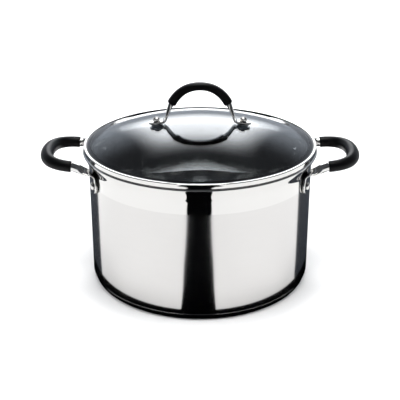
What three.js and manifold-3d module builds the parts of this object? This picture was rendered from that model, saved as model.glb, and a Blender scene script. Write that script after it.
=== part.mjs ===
// Stainless steel stock pot with two riveted side handles and a domed glass lid.
//
// Millimetres, +Z up. The origin is the centre of the flat underside, where the pot stands.
// +X runs through the two side handles, and -Y is the front.
import * as THREE from 'three';
import { mergeVertices } from 'three/addons/utils/BufferGeometryUtils.js';
import Module from 'manifold-3d';

const wasm = await Module();
wasm.setup();

// ---- driving dimensions: pot ----
const POT_RADIUS = 120;          // outside of the straight wall
const POT_WALL = 1;
const POT_HEIGHT = 147.6;        // top of the rolled lip
const POT_CORNER = 3;            // outside radius where the wall meets the bottom
const LIP_OVERHANG = 5.4;        // the rolled lip stands this far outside the wall
const LIP_BEAD = 1.3;            // radius of the roll
const FLARE_HEIGHT = 16;         // height of the flare, lip included

// ---- driving dimensions: base ----
const BASE_CAP_INSET = 2;        // the cap is this much inside the wall all round
const BASE_CAP_HEIGHT = 7;
const BASE_CAP_CORNER = 5.2;
const BASE_CAP_SHEET = 1.2;

// ---- driving dimensions: side handles ----
const HANDLE_TUBE = 9.4;         // diameter of the round tube
const HANDLE_REACH = 44.5;       // from the wall to the centre line of the outer bend
const HANDLE_HALF_SPAN = 38.5;   // from the middle of the handle to either leg
const HANDLE_LEG = 14.2;         // from the wall to the start of the grip
const HANDLE_BELOW_LIP = 9.7;    // from the lip down to the legs
const HANDLE_RISE = 2.8;         // the outer bend stands this much above the legs
const TAB_WIDTH = 16;
const TAB_THICKNESS = 2.6;
const TAB_END = 8;               // from the rivet down to the end of the tab
const TAB_TOP = 12;              // from the rivet up to the corner of the bend
const TAB_BEND = 5.5;            // set-back of the bend from that corner
const LEG_CLIMB = 0.25;          // slope of the strap where it leaves the wall
const TAB_SLANT = THREE.MathUtils.degToRad(18);
const RIVET_ANGLE = THREE.MathUtils.degToRad(25.5);   // from the handle's own axis
const RIVET_BELOW_LIP = 25.8;
const GRIP_END_WALL = 0.95;      // thickness of the sleeve at its ends
const GRIP_BEND_WALL = 2.1;      // the sleeve is thickest round the outer bend
const RIVET_SHANK = 5;
const RIVET_HEAD = 8.4;
const RIVET_HEAD_HEIGHT = 2.6;
const RIVET_INNER_HEAD = 11;
const RIVET_INNER_HEIGHT = 1.2;

// ---- driving dimensions: lid ----
const DOME_RISE = 22.2;          // glass apex above the glass flange
const GLASS_FLANGE = 6.6;        // from the edge of the lid in to the foot of the dome
const GLASS_THICKNESS = 3;
const LID_INSET = 0.8;           // the steel band is this much inside the lip
const BAND_SHEET = 0.5;
const BAND_LIP_WIDTH = 3.9;      // how far the band folds over the glass
const SEAL_SHEET = 0.5;
const SEAL_WIDTH = 10.4;         // from the edge of the lid in to the edge of the seal
const LOCATING_BEAD_DROP = 3.9;  // the bead that keeps the lid inside the lip
const LOCATING_BEAD_WIDTH = 1.8;

// ---- driving dimensions: lid handle ----
const ARCH_HALF_SPAN = 35.8;     // foot of the arch, from the middle of the lid
const ARCH_RISE = 39.1;          // centre line of the arch above the glass apex
const ARCH_TUBE_WIDE = 7.6;
const ARCH_TUBE_DEEP = 6.4;
const ARCH_GRIP_START = 0.3;     // share of each arch side that stays bare steel
const ARCH_GRIP_SIDE_WALL = 1.7; // thickness of the sleeve at its sides
const ARCH_GRIP_TOP_WALL = 0.7;  // above and below the tube, at the top of the arch
const ARCH_GRIP_END_WALL = 1.4;  // above and below the tube, at the ends of the sleeve
const SCREW_RADIUS = 45.7;       // from the middle of the lid to each screw
const LID_TAB_WIDTH = 13;
const LID_TAB_THICKNESS = 2.4;
const LID_TAB_END = 8.4;         // from the screw out to the end of the tab
const LID_TAB_BEND = 4;
const SCREW_SHANK = 4;
const SCREW_HEAD = 7.6;
const SCREW_HEAD_HEIGHT = 4.1;
const BUSH_FLANGE = 12.5;
const BUSH_FLANGE_HEIGHT = 1.2;
const GLASS_HOLE = 8;
const PAD_WIDTH = 14;
const PAD_HEIGHT = 1.5;
const WASHER_WIDTH = 12;
const WASHER_HEIGHT = 1;
const NUT_WIDTH = 8.5;
const NUT_HEIGHT = 6;
const NUT_DEPTH = 4.4;           // how far the screw runs into the nut

// ---- clearances ----
const GAP = 0.3;                 // between pieces that touch
const SEAT = 0.1;                // between rings that stack face to face

// ---- fineness ----
const ROUND = 40;                // facets round the pot and lid
const SMALL_ROUND = 10;          // facets round a fastener
const TUBE_SIDES = 10;
const GRIP_STEPS = 8;            // lengths in half of a side handle's grip

// ---- values that follow from the driving dimensions ----
const BASE_TOP = BASE_CAP_HEIGHT + GAP;          // underside of the pot's own bottom
const BASE_CAP_RADIUS = POT_RADIUS - BASE_CAP_INSET;
const LIP_RADIUS = POT_RADIUS + LIP_OVERHANG;
const LIP_CENTRE = LIP_RADIUS - LIP_BEAD;
const LID_RADIUS = LIP_RADIUS - LID_INSET;
const DOME_FOOT_RADIUS = LID_RADIUS - GLASS_FLANGE;
const SEAL_INNER_RADIUS = LID_RADIUS - SEAL_WIDTH;
const BAND_BOTTOM = POT_HEIGHT + GAP;
const SEAL_BOTTOM = BAND_BOTTOM + BAND_SHEET + SEAT;
const GLASS_BOTTOM = SEAL_BOTTOM + SEAL_SHEET + SEAT;
const FLANGE_TOP = GLASS_BOTTOM + GLASS_THICKNESS;
const BAND_TOP = FLANGE_TOP + SEAT + BAND_SHEET;
const SEAL_OUTER_RADIUS = LID_RADIUS - BAND_SHEET - SEAT;
const GLASS_RADIUS = SEAL_OUTER_RADIUS - 2 * SEAL_SHEET - SEAT;
const DOME_RADIUS = (DOME_FOOT_RADIUS ** 2 + DOME_RISE ** 2) / (2 * DOME_RISE);
const APEX = FLANGE_TOP + DOME_RISE;
const DOME_CENTRE = APEX - DOME_RADIUS;
const SCREW_TILT = Math.asin(SCREW_RADIUS / DOME_RADIUS);

// ---- geometry helpers ----

// Welds shared corners, drops empty triangles and turns the faces outward.
function closed(geometry) {
  const bare = geometry.index ? geometry : geometry.clone();
  bare.deleteAttribute('normal');
  bare.deleteAttribute('uv');
  const welded = mergeVertices(bare, 1e-4);
  const corner = welded.index.array;
  const kept = [];
  for (let i = 0; i < corner.length; i += 3) {
    const [a, b, c] = [corner[i], corner[i + 1], corner[i + 2]];
    if (a !== b && b !== c && c !== a) kept.push(a, b, c);
  }
  if (signedVolume(welded, kept) < 0) kept.reverse();
  welded.setIndex(kept);
  return welded;
}

function signedVolume(geometry, index) {
  const position = geometry.getAttribute('position');
  const [a, b, c] = [new THREE.Vector3(), new THREE.Vector3(), new THREE.Vector3()];
  let sum = 0;
  for (let i = 0; i < index.length; i += 3) {
    a.fromBufferAttribute(position, index[i]);
    b.fromBufferAttribute(position, index[i + 1]);
    c.fromBufferAttribute(position, index[i + 2]);
    sum += a.dot(b.cross(c)) / 6;
  }
  return sum;
}

function toManifold(geometry) {
  const body = closed(geometry);
  return new wasm.Manifold(new wasm.Mesh({
    numProp: 3,
    vertProperties: new Float32Array(body.getAttribute('position').array),
    triVerts: new Uint32Array(body.index.array),
  }));
}

function fromManifold(manifold) {
  const mesh = manifold.getMesh();
  const geometry = new THREE.BufferGeometry();
  geometry.setAttribute('position', new THREE.BufferAttribute(mesh.vertProperties, 3));
  geometry.setIndex([...mesh.triVerts]);
  return geometry;
}

function cut(geometry, ...tools) {
  let body = toManifold(geometry);
  for (const tool of tools) body = body.subtract(toManifold(tool));
  return fromManifold(body);
}

// A profile of [radius, height] pairs turned about +Z.
function turned(profile, facets = ROUND) {
  const points = profile.map(([radius, height]) => new THREE.Vector2(radius, height));
  return closed(new THREE.LatheGeometry(points, facets).rotateX(Math.PI / 2));
}

// A ring whose closed cross-section is the given [radius, height] outline.
function ring(outline, facets = ROUND) {
  return turned([...outline, outline[0]], facets);
}

function rod(diameter, low, high) {
  const radius = diameter / 2;
  return turned([[0, low], [radius, low], [radius, high], [0, high]], SMALL_ROUND);
}

function washer(outer, inner, low, high) {
  return ring([[inner / 2, low], [outer / 2, low], [outer / 2, high], [inner / 2, high]], SMALL_ROUND);
}

// Points on an arc, as [radius, height] pairs, both ends included.
function arc(centre, radius, from, to, steps) {
  const points = [];
  for (let i = 0; i <= steps; i += 1) {
    const angle = THREE.MathUtils.degToRad(from + (to - from) * i / steps);
    points.push([centre[0] + radius * Math.cos(angle), centre[1] + radius * Math.sin(angle)]);
  }
  return points;
}

// One section of a tube: an oval that turns into a rounded rectangle as squareness grows from 2.
function section(station) {
  const { centre, along, wide, halfWide, halfDeep, squareness } = station;
  const across = wide.clone().addScaledVector(along, -wide.dot(along)).normalize();
  const deep = along.clone().cross(across);
  const power = 2 / squareness;
  const points = [];
  for (let i = 0; i < TUBE_SIDES; i += 1) {
    const angle = 2 * Math.PI * (i + 0.5) / TUBE_SIDES;
    const [c, s] = [Math.cos(angle), Math.sin(angle)];
    points.push(centre.clone()
      .addScaledVector(across, halfWide * Math.sign(c) * Math.abs(c) ** power)
      .addScaledVector(deep, halfDeep * Math.sign(s) * Math.abs(s) ** power));
  }
  return points;
}

// A solid skinned over the sections of its stations, with a flat cap at each end.
function skinned(stations) {
  const rings = stations.map(section);
  const position = rings.flat().flatMap((point) => point.toArray());
  const index = [];
  for (let r = 0; r + 1 < rings.length; r += 1) {
    for (let i = 0; i < TUBE_SIDES; i += 1) {
      const next = (i + 1) % TUBE_SIDES;
      const [a, b] = [r * TUBE_SIDES + i, r * TUBE_SIDES + next];
      const [c, d] = [a + TUBE_SIDES, b + TUBE_SIDES];
      index.push(a, b, d, a, d, c);
    }
  }
  for (const [r, order] of [[0, -1], [rings.length - 1, 1]]) {
    for (let i = 1; i + 1 < TUBE_SIDES; i += 1) {
      const fan = [r * TUBE_SIDES, r * TUBE_SIDES + i, r * TUBE_SIDES + i + 1];
      index.push(...(order > 0 ? fan : fan.reverse()));
    }
  }
  const geometry = new THREE.BufferGeometry();
  geometry.setAttribute('position', new THREE.Float32BufferAttribute(position, 3));
  geometry.setIndex(index);
  return closed(geometry);
}

// Stations on the other half of a symmetric tube, mirrored in the plane through its middle.
function mirrored(stations, axis) {
  return stations.map((station) => {
    const flip = (vector) => vector.clone().setComponent(axis, -vector.getComponent(axis));
    return {
      ...station,
      centre: flip(station.centre),
      along: flip(station.along).negate(),
      wide: flip(station.wide),
    };
  });
}

function mix(from, to, share) {
  return from + (to - from) * share;
}

function smooth(share) {
  return THREE.MathUtils.smoothstep(share, 0, 1);
}

// ---- materials ----

function steel(roughness) {
  return new THREE.MeshStandardMaterial({ color: 0xc9cbce, metalness: 1, roughness });
}

function rubber(color) {
  return new THREE.MeshStandardMaterial({ color, metalness: 0, roughness: 0.6 });
}

function aluminium() {
  return new THREE.MeshStandardMaterial({ color: 0xd6d7d9, metalness: 1, roughness: 0.5 });
}

function glass() {
  return new THREE.MeshStandardMaterial({
    color: 0xaab6bd, metalness: 0, roughness: 0.05, transparent: true, opacity: 0.35,
  });
}

function piece(name, geometry, material) {
  const mesh = new THREE.Mesh(geometry, material);
  mesh.name = name;
  return mesh;
}

// ---- pot ----

// Outside of the wall from the foot of the flare up to the roll: a smooth S.
function flareOutside(steps) {
  const points = [];
  const foot = POT_HEIGHT - FLARE_HEIGHT;
  const top = POT_HEIGHT - LIP_BEAD;
  const reach = LIP_CENTRE - POT_RADIUS;
  for (let i = 0; i <= steps; i += 1) {
    const share = i / steps;
    points.push([POT_RADIUS + reach * smooth(share), mix(foot, top, share)]);
  }
  return points;
}

// The wall is turned as one sheet: up the outside, over the roll, and down the inside.
function potBody(rivetHoles) {
  const outside = flareOutside(6);
  const inside = outside.slice(0, -1).map(([radius, height]) => [radius - POT_WALL, height]).reverse();
  const cornerCentre = [POT_RADIUS - POT_CORNER, BASE_TOP + POT_CORNER];
  const profile = [
    [0, BASE_TOP],
    ...arc(cornerCentre, POT_CORNER, -90, 0, 3),
    ...outside.slice(0, -1),
    ...arc([LIP_CENTRE, POT_HEIGHT - LIP_BEAD], LIP_BEAD, -60, 180, 5),
    ...inside,
    ...arc(cornerCentre, POT_CORNER - POT_WALL, 0, -90, 2),
    [0, BASE_TOP + POT_WALL],
  ];
  return cut(turned(profile), ...rivetHoles);
}

// Aluminium disc that spreads the heat, closed in between the pot's bottom and the steel cap.
function baseCore() {
  const radius = BASE_CAP_RADIUS - BASE_CAP_SHEET - GAP;
  const low = BASE_CAP_SHEET + GAP;
  const chamfer = BASE_CAP_CORNER - BASE_CAP_SHEET;
  return turned([
    [0, low],
    [radius - chamfer, low],
    [radius, low + chamfer],
    [radius, BASE_CAP_HEIGHT],
    [0, BASE_CAP_HEIGHT],
  ]);
}

// Steel cap pressed over the disc: a flat underside, a round edge and a short wall.
function baseCap() {
  const centre = [BASE_CAP_RADIUS - BASE_CAP_CORNER, BASE_CAP_CORNER];
  return turned([
    [0, 0],
    ...arc(centre, BASE_CAP_CORNER, -90, 0, 4),
    [BASE_CAP_RADIUS, BASE_CAP_HEIGHT],
    [BASE_CAP_RADIUS - BASE_CAP_SHEET, BASE_CAP_HEIGHT],
    ...arc(centre, BASE_CAP_CORNER - BASE_CAP_SHEET, 0, -90, 3),
    [0, BASE_CAP_SHEET],
  ]);
}

// ---- side handles: the one at +X, and the other is the same turned half a turn ----

const RIVET_HEIGHT = POT_HEIGHT - RIVET_BELOW_LIP;
const LEG_HEIGHT = POT_HEIGHT - HANDLE_BELOW_LIP;
const UP = new THREE.Vector3(0, 0, 1);

// Directions of the tab on the front leg: out of the wall, down the tab and across it.
function tabFrame() {
  const out = new THREE.Vector3(Math.cos(RIVET_ANGLE), -Math.sin(RIVET_ANGLE), 0);
  const sideways = new THREE.Vector3(-Math.sin(RIVET_ANGLE), -Math.cos(RIVET_ANGLE), 0);
  const down = UP.clone().multiplyScalar(-Math.cos(TAB_SLANT));
  down.addScaledVector(sideways, Math.sin(TAB_SLANT));
  return { out, down, across: out.clone().cross(down) };
}

// Middle of the tab's thickness at the rivet.
function tabCentre() {
  const { out } = tabFrame();
  const stand = POT_RADIUS + GAP + TAB_THICKNESS / 2;
  return out.clone().multiplyScalar(stand).addScaledVector(UP, RIVET_HEIGHT);
}

// Centre line of the grip's half of the loop, from the end of the grip to the outer bend.
function gripCurve() {
  const start = new THREE.Vector3(POT_RADIUS + HANDLE_LEG, -HANDLE_HALF_SPAN, LEG_HEIGHT);
  const bend = new THREE.Vector3(POT_RADIUS + HANDLE_REACH, 0, LEG_HEIGHT + HANDLE_RISE);
  const depth = bend.x - start.x;
  const legControl = start.clone().add(new THREE.Vector3(0.72 * depth, 0.5, 0.72 * HANDLE_RISE));
  const bendControl = bend.clone().add(new THREE.Vector3(0, -0.62 * HANDLE_HALF_SPAN, 0));
  return new THREE.CubicBezierCurve3(start, legControl, bendControl, bend);
}

// Half of the steel loop: rounded tab end, tab, bend, leg that swells to a round tube, outer bend.
function handleStations() {
  const { down, across } = tabFrame();
  const rivet = tabCentre();
  const grip = gripCurve();
  const gripStart = grip.getPoint(0);
  const corner = rivet.clone().addScaledVector(down, -TAB_TOP);
  const outward = grip.getTangent(0).add(new THREE.Vector3(0, 0, LEG_CLIMB)).normalize();
  const bendStart = corner.clone().addScaledVector(down, TAB_BEND);
  const bendEnd = corner.clone().addScaledVector(outward, TAB_BEND);
  const bend = new THREE.QuadraticBezierCurve3(bendStart, corner, bendEnd);
  const easing = (gripStart.x - bendEnd.x) / 3;
  const leg = new THREE.CubicBezierCurve3(
    bendEnd,
    bendEnd.clone().addScaledVector(outward, easing),
    gripStart.clone().addScaledVector(grip.getTangent(0), -easing),
    gripStart,
  );
  const plane = grip.getTangent(0).cross(new THREE.Vector3(0, 1, 0)).normalize();
  const widthAcross = (tangent) => plane.clone().cross(tangent).normalize();
  const flat = { halfDeep: TAB_THICKNESS / 2, squareness: 5 };
  const stations = [];
  for (const drop of [1, 0.93, 0.75, 0.4, 0, -0.6]) {
    const roundEnd = Math.sqrt(1 - Math.max(drop, 0) ** 2);
    stations.push({
      ...flat,
      centre: rivet.clone().addScaledVector(down, drop * TAB_END),
      along: down.clone().negate(),
      wide: across,
      halfWide: TAB_WIDTH / 2 * Math.max(roundEnd, 0.15),
    });
  }
  for (const share of [0, 0.25, 0.5, 0.75, 1]) {
    stations.push({
      ...flat,
      centre: bend.getPoint(share),
      along: bend.getTangent(share),
      wide: across.clone().lerp(widthAcross(outward), share),
      halfWide: TAB_WIDTH / 2,
    });
  }
  for (const share of [0.28, 0.56, 0.84]) {
    const swell = share / 0.84;
    stations.push({
      centre: leg.getPoint(share),
      along: leg.getTangent(share),
      wide: widthAcross(leg.getTangent(share)),
      halfWide: mix(TAB_WIDTH, HANDLE_TUBE, smooth(swell)) / 2,
      halfDeep: mix(TAB_THICKNESS, HANDLE_TUBE, swell ** 1.3) / 2,
      squareness: mix(5, 2, swell),
    });
  }
  for (let i = 0; i <= GRIP_STEPS; i += 1) {
    const tangent = grip.getTangent(i / GRIP_STEPS);
    stations.push({
      centre: grip.getPoint(i / GRIP_STEPS),
      along: tangent,
      wide: widthAcross(tangent),
      halfWide: HANDLE_TUBE / 2,
      halfDeep: HANDLE_TUBE / 2,
      squareness: 2,
    });
  }
  return stations;
}

function wholeLoop(half, axis) {
  return [...half, ...mirrored(half.slice(0, -1), axis).reverse()];
}

// Moves a tool built along +Z onto the rivet's axis, with the wall's outside face at height 0.
function ontoRivetAxis(geometry, side) {
  const out = tabFrame().out;
  out.y *= side;
  geometry.applyQuaternion(new THREE.Quaternion().setFromUnitVectors(UP, out));
  const seat = out.clone().multiplyScalar(POT_RADIUS);
  return geometry.translate(seat.x, seat.y, RIVET_HEIGHT);
}

function rivetHole(side) {
  const reach = TAB_THICKNESS + 4 * GAP;
  return ontoRivetAxis(rod(RIVET_SHANK + 2 * GAP, -POT_WALL - reach, reach), side);
}

function handleLoop() {
  return cut(skinned(wholeLoop(handleStations(), 1)), rivetHole(1), rivetHole(-1));
}

function gripStations(endRadius, bendRadius, overrun) {
  const curve = gripCurve();
  const tangentAt = (share) => curve.getTangent(share);
  const stations = [];
  const plane = tangentAt(0).cross(new THREE.Vector3(0, 1, 0)).normalize();
  for (let i = 0; i <= GRIP_STEPS; i += 1) {
    const along = tangentAt(i / GRIP_STEPS);
    const radius = mix(endRadius, bendRadius, smooth(i / GRIP_STEPS));
    stations.push({
      centre: curve.getPoint(i / GRIP_STEPS),
      along,
      wide: plane.clone().cross(along).normalize(),
      halfWide: radius,
      halfDeep: radius,
      squareness: 2,
    });
  }
  stations[0].centre.addScaledVector(stations[0].along, -overrun);
  return stations;
}

// Silicone sleeve over the loop, fat round the bend, open at both ends.
function handleGrip() {
  const bore = HANDLE_TUBE / 2 + GAP;
  const outside = skinned(wholeLoop(gripStations(bore + GRIP_END_WALL, bore + GRIP_BEND_WALL, 0), 1));
  const inside = skinned(wholeLoop(gripStations(bore, bore, 2), 1));
  return cut(outside, inside);
}

// Rivet: domed head on the tab, shank through tab and wall, flat head inside the pot.
function rivet() {
  const headSeat = TAB_THICKNESS + 2 * GAP;
  const innerSeat = -POT_WALL - 2 * GAP;
  const shank = RIVET_SHANK / 2;
  const head = RIVET_HEAD / 2;
  const inner = RIVET_INNER_HEAD / 2;
  return turned([
    [0, innerSeat - RIVET_INNER_HEIGHT],
    [inner - 0.5, innerSeat - RIVET_INNER_HEIGHT],
    [inner, innerSeat - 0.5],
    [inner, innerSeat],
    [shank, innerSeat],
    [shank, headSeat],
    [head, headSeat],
    [head, headSeat + 0.3 * RIVET_HEAD_HEIGHT],
    [0.72 * head, headSeat + 0.75 * RIVET_HEAD_HEIGHT],
    [0.3 * head, headSeat + RIVET_HEAD_HEIGHT],
    [0, headSeat + RIVET_HEAD_HEIGHT],
  ], SMALL_ROUND);
}

function sideHandle(side) {
  const group = new THREE.Group();
  group.add(piece(`${side}_handle_loop`, handleLoop(), steel(0.1)));
  group.add(piece(`${side}_handle_grip`, handleGrip(), rubber(0x141516)));
  const nearFront = side === 'right' ? 1 : -1;
  for (const row of [1, -1]) {
    const where = row === nearFront ? 'front' : 'back';
    group.add(piece(`${side}_${where}_rivet`, ontoRivetAxis(rivet(), row), steel(0.1)));
  }
  if (side === 'left') group.rotation.z = Math.PI;
  return group;
}

// ---- lid ----

function domeHeight(radius, depth = 0) {
  return DOME_CENTRE + Math.sqrt((DOME_RADIUS - depth) ** 2 - radius ** 2);
}

// Moves a tool built along +Z onto a screw's axis, with the glass's outer face at height 0.
function ontoScrewAxis(geometry, side) {
  geometry.translate(0, 0, DOME_RADIUS).rotateY(side * SCREW_TILT);
  return geometry.translate(0, 0, DOME_CENTRE);
}

// Domed tempered glass with a flat flange and two holes for the handle's screws.
function lidGlass() {
  const steps = 7;
  const top = [];
  const under = [];
  const footUnder = DOME_FOOT_RADIUS - 0.4 * GLASS_THICKNESS;
  for (let i = 0; i < steps; i += 1) {
    const radius = DOME_FOOT_RADIUS * i / steps;
    top.push([radius, domeHeight(radius)]);
    under.push([radius, domeHeight(radius, GLASS_THICKNESS)]);
  }
  const profile = [
    ...top,
    [DOME_FOOT_RADIUS, FLANGE_TOP],
    [GLASS_RADIUS, FLANGE_TOP],
    [GLASS_RADIUS, GLASS_BOTTOM],
    [footUnder, GLASS_BOTTOM],
    ...under.reverse(),
  ];
  const hole = (side) => ontoScrewAxis(rod(GLASS_HOLE, -2 * GLASS_THICKNESS, GLASS_THICKNESS), side);
  return cut(turned(profile), hole(1), hole(-1));
}

// Steel band folded round the edge of the glass, with a bead that drops inside the pot's lip.
function lidBand() {
  const innerEdge = LID_RADIUS - BAND_LIP_WIDTH;
  const wall = LID_RADIUS - BAND_SHEET;
  const beadOuter = LIP_CENTRE - LIP_BEAD - GAP;
  const beadInner = beadOuter - LOCATING_BEAD_WIDTH;
  const beadLow = BAND_BOTTOM - LOCATING_BEAD_DROP;
  return ring([
    [SEAL_INNER_RADIUS + GAP, BAND_BOTTOM],
    [beadInner, BAND_BOTTOM],
    [beadInner + GAP, beadLow],
    [beadOuter - GAP, beadLow],
    [beadOuter, BAND_BOTTOM],
    [wall, BAND_BOTTOM],
    [LID_RADIUS, BAND_BOTTOM + BAND_SHEET],
    [LID_RADIUS, BAND_TOP - BAND_SHEET],
    [wall, BAND_TOP],
    [innerEdge, BAND_TOP],
    [innerEdge, BAND_TOP - BAND_SHEET],
    [wall, BAND_TOP - BAND_SHEET],
    [wall, BAND_BOTTOM + BAND_SHEET],
    [SEAL_INNER_RADIUS + GAP, BAND_BOTTOM + BAND_SHEET],
  ]);
}

// Dark seal between the glass and its band: under the flange and round the edge.
function lidSeal() {
  return ring([
    [SEAL_INNER_RADIUS, SEAL_BOTTOM],
    [SEAL_OUTER_RADIUS, SEAL_BOTTOM],
    [SEAL_OUTER_RADIUS, FLANGE_TOP],
    [SEAL_OUTER_RADIUS - 2 * SEAL_SHEET, FLANGE_TOP],
    [SEAL_OUTER_RADIUS - 2 * SEAL_SHEET, SEAL_BOTTOM + SEAL_SHEET],
    [SEAL_INNER_RADIUS, SEAL_BOTTOM + SEAL_SHEET],
  ]);
}

// ---- lid handle ----

// Heights above the glass, along a screw's axis, at which the pieces seat.
const BUSH_SEAT = GAP;
const TAB_SEAT = BUSH_SEAT + BUSH_FLANGE_HEIGHT + GAP;
const HEAD_SEAT = TAB_SEAT + LID_TAB_THICKNESS + GAP;
const PAD_SEAT = -GLASS_THICKNESS - GAP;
const WASHER_SEAT = PAD_SEAT - PAD_HEIGHT - GAP;
const NUT_SEAT = WASHER_SEAT - WASHER_HEIGHT - GAP;
const ACROSS_LID = new THREE.Vector3(0, 1, 0);

// Point on the tab's mid-plane, a given distance out from the screw.
function lidTabPoint(beyond) {
  const out = new THREE.Vector3(Math.cos(SCREW_TILT), 0, -Math.sin(SCREW_TILT));
  const normal = new THREE.Vector3(Math.sin(SCREW_TILT), 0, Math.cos(SCREW_TILT));
  const point = new THREE.Vector3(0, 0, DOME_CENTRE);
  point.addScaledVector(normal, DOME_RADIUS + TAB_SEAT + LID_TAB_THICKNESS / 2);
  return point.addScaledVector(out, beyond);
}

// Centre line of one side of the arch, from just above its foot to the top.
function archCurve() {
  const corner = lidTabPoint(ARCH_HALF_SPAN - SCREW_RADIUS);
  const top = new THREE.Vector3(0, 0, APEX + ARCH_RISE);
  const rise = top.z - corner.z;
  const foot = corner.clone().add(new THREE.Vector3(-0.3, 0, LID_TAB_BEND));
  const footControl = corner.clone().add(new THREE.Vector3(-0.144 * ARCH_HALF_SPAN, 0, 0.578 * rise));
  const topControl = top.clone().add(new THREE.Vector3(0.6 * ARCH_HALF_SPAN, 0, 0));
  return new THREE.CubicBezierCurve3(foot, footControl, topControl, top);
}

// Half of the arch: rounded tab end, tab, bend, foot that swells to an oval tube, top.
function archStations() {
  const arch = archCurve();
  const foot = arch.getPoint(0);
  const corner = lidTabPoint(ARCH_HALF_SPAN - SCREW_RADIUS);
  const outward = lidTabPoint(1).sub(lidTabPoint(0));
  const bendStart = corner.clone().addScaledVector(outward, LID_TAB_BEND);
  const bend = new THREE.QuadraticBezierCurve3(bendStart, corner, foot);
  const flat = { wide: ACROSS_LID, halfDeep: LID_TAB_THICKNESS / 2, squareness: 5 };
  const stations = [];
  for (const reach of [1, 0.93, 0.75, 0.4, 0]) {
    stations.push({
      ...flat,
      centre: lidTabPoint(reach * LID_TAB_END),
      along: outward.clone().negate(),
      halfWide: LID_TAB_WIDTH / 2 * Math.max(Math.sqrt(1 - reach ** 2), 0.15),
    });
  }
  for (const share of [0, 0.25, 0.5, 0.75]) {
    stations.push({
      ...flat,
      centre: bend.getPoint(share),
      along: bend.getTangent(share),
      halfWide: LID_TAB_WIDTH / 2,
    });
  }
  const steps = 12;
  for (let i = 0; i <= steps; i += 1) {
    const swell = Math.min(i / steps / ARCH_GRIP_START, 1);
    stations.push({
      wide: ACROSS_LID,
      centre: arch.getPoint(i / steps),
      along: arch.getTangent(i / steps),
      halfWide: mix(LID_TAB_WIDTH, ARCH_TUBE_WIDE, smooth(swell)) / 2,
      halfDeep: mix(LID_TAB_THICKNESS, ARCH_TUBE_DEEP, swell) / 2,
      squareness: mix(5, 2, swell),
    });
  }
  return stations;
}

function archLoop() {
  const hole = (side) => {
    const low = TAB_SEAT - GAP;
    return ontoScrewAxis(rod(SCREW_SHANK + 2 * GAP, low, low + LID_TAB_THICKNESS + 2 * GAP), side);
  };
  return cut(skinned(wholeLoop(archStations(), 0)), hole(1), hole(-1));
}

function archGripStations(wide, deep, endDeep, start) {
  const arch = archCurve();
  const steps = 9;
  const stations = [];
  for (let i = 0; i <= steps; i += 1) {
    const share = mix(start, 1, i / steps);
    stations.push({
      wide: ACROSS_LID,
      centre: arch.getPoint(share),
      along: arch.getTangent(share),
      halfWide: wide / 2,
      halfDeep: mix(endDeep, deep, smooth(i / steps)) / 2,
      squareness: 2.6,
    });
  }
  return stations;
}

// Silicone sleeve over the arch, open at both ends.
function archGrip() {
  const wide = ARCH_TUBE_WIDE + 2 * GAP;
  const deep = ARCH_TUBE_DEEP + 2 * GAP;
  const outside = archGripStations(
    wide + 2 * ARCH_GRIP_SIDE_WALL,
    deep + 2 * ARCH_GRIP_TOP_WALL,
    deep + 2 * ARCH_GRIP_END_WALL,
    ARCH_GRIP_START,
  );
  const inside = archGripStations(wide, deep, deep, ARCH_GRIP_START - 0.03);
  return cut(skinned(wholeLoop(outside, 0)), skinned(wholeLoop(inside, 0)));
}

// Screw with a tall domed head; its shank ends inside the nut.
function lidScrew() {
  const tip = NUT_SEAT - NUT_DEPTH;
  const head = SCREW_HEAD / 2;
  const shank = SCREW_SHANK / 2;
  const top = HEAD_SEAT + SCREW_HEAD_HEIGHT;
  return turned([
    [0, tip],
    [shank, tip],
    [shank, HEAD_SEAT],
    [head, HEAD_SEAT],
    [head, top - 1.6],
    [0.8 * head, top - 0.5],
    [0.45 * head, top],
    [0, top],
  ], SMALL_ROUND);
}

// Silicone bush: a flange between tab and glass, and a collar that lines the hole in the glass.
function lidBush() {
  const bore = SCREW_SHANK / 2 + GAP;
  const collar = GLASS_HOLE / 2 - 2 * GAP;
  return ring([
    [bore, -GLASS_THICKNESS],
    [collar, -GLASS_THICKNESS],
    [collar, BUSH_SEAT],
    [BUSH_FLANGE / 2, BUSH_SEAT],
    [BUSH_FLANGE / 2, BUSH_SEAT + BUSH_FLANGE_HEIGHT],
    [bore, BUSH_SEAT + BUSH_FLANGE_HEIGHT],
  ], SMALL_ROUND);
}

// Cap nut: a domed cup that closes over the end of the screw.
function capNut() {
  const radius = NUT_WIDTH / 2;
  const bore = SCREW_SHANK / 2 + GAP;
  const floor = NUT_SEAT - NUT_DEPTH - GAP;
  const low = NUT_SEAT - NUT_HEIGHT;
  return turned([
    [0, low],
    [0.55 * radius, low],
    [radius, low + 0.4 * NUT_HEIGHT],
    [radius, NUT_SEAT],
    [bore, NUT_SEAT],
    [bore, floor],
    [0, floor],
  ], SMALL_ROUND);
}

function lidFastening(name, side) {
  const bore = SCREW_SHANK + 2 * GAP;
  const pad = washer(PAD_WIDTH, bore, PAD_SEAT - PAD_HEIGHT, PAD_SEAT);
  const plate = washer(WASHER_WIDTH, bore, WASHER_SEAT - WASHER_HEIGHT, WASHER_SEAT);
  return [
    piece(`${name}_screw`, ontoScrewAxis(lidScrew(), side), steel(0.1)),
    piece(`${name}_bush`, ontoScrewAxis(lidBush(), side), rubber(0x1c1e20)),
    piece(`${name}_pad`, ontoScrewAxis(pad, side), rubber(0x1c1e20)),
    piece(`${name}_washer`, ontoScrewAxis(plate, side), steel(0.3)),
    piece(`${name}_cap_nut`, ontoScrewAxis(capNut(), side), steel(0.2)),
  ];
}

// ---- assembly ----

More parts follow.
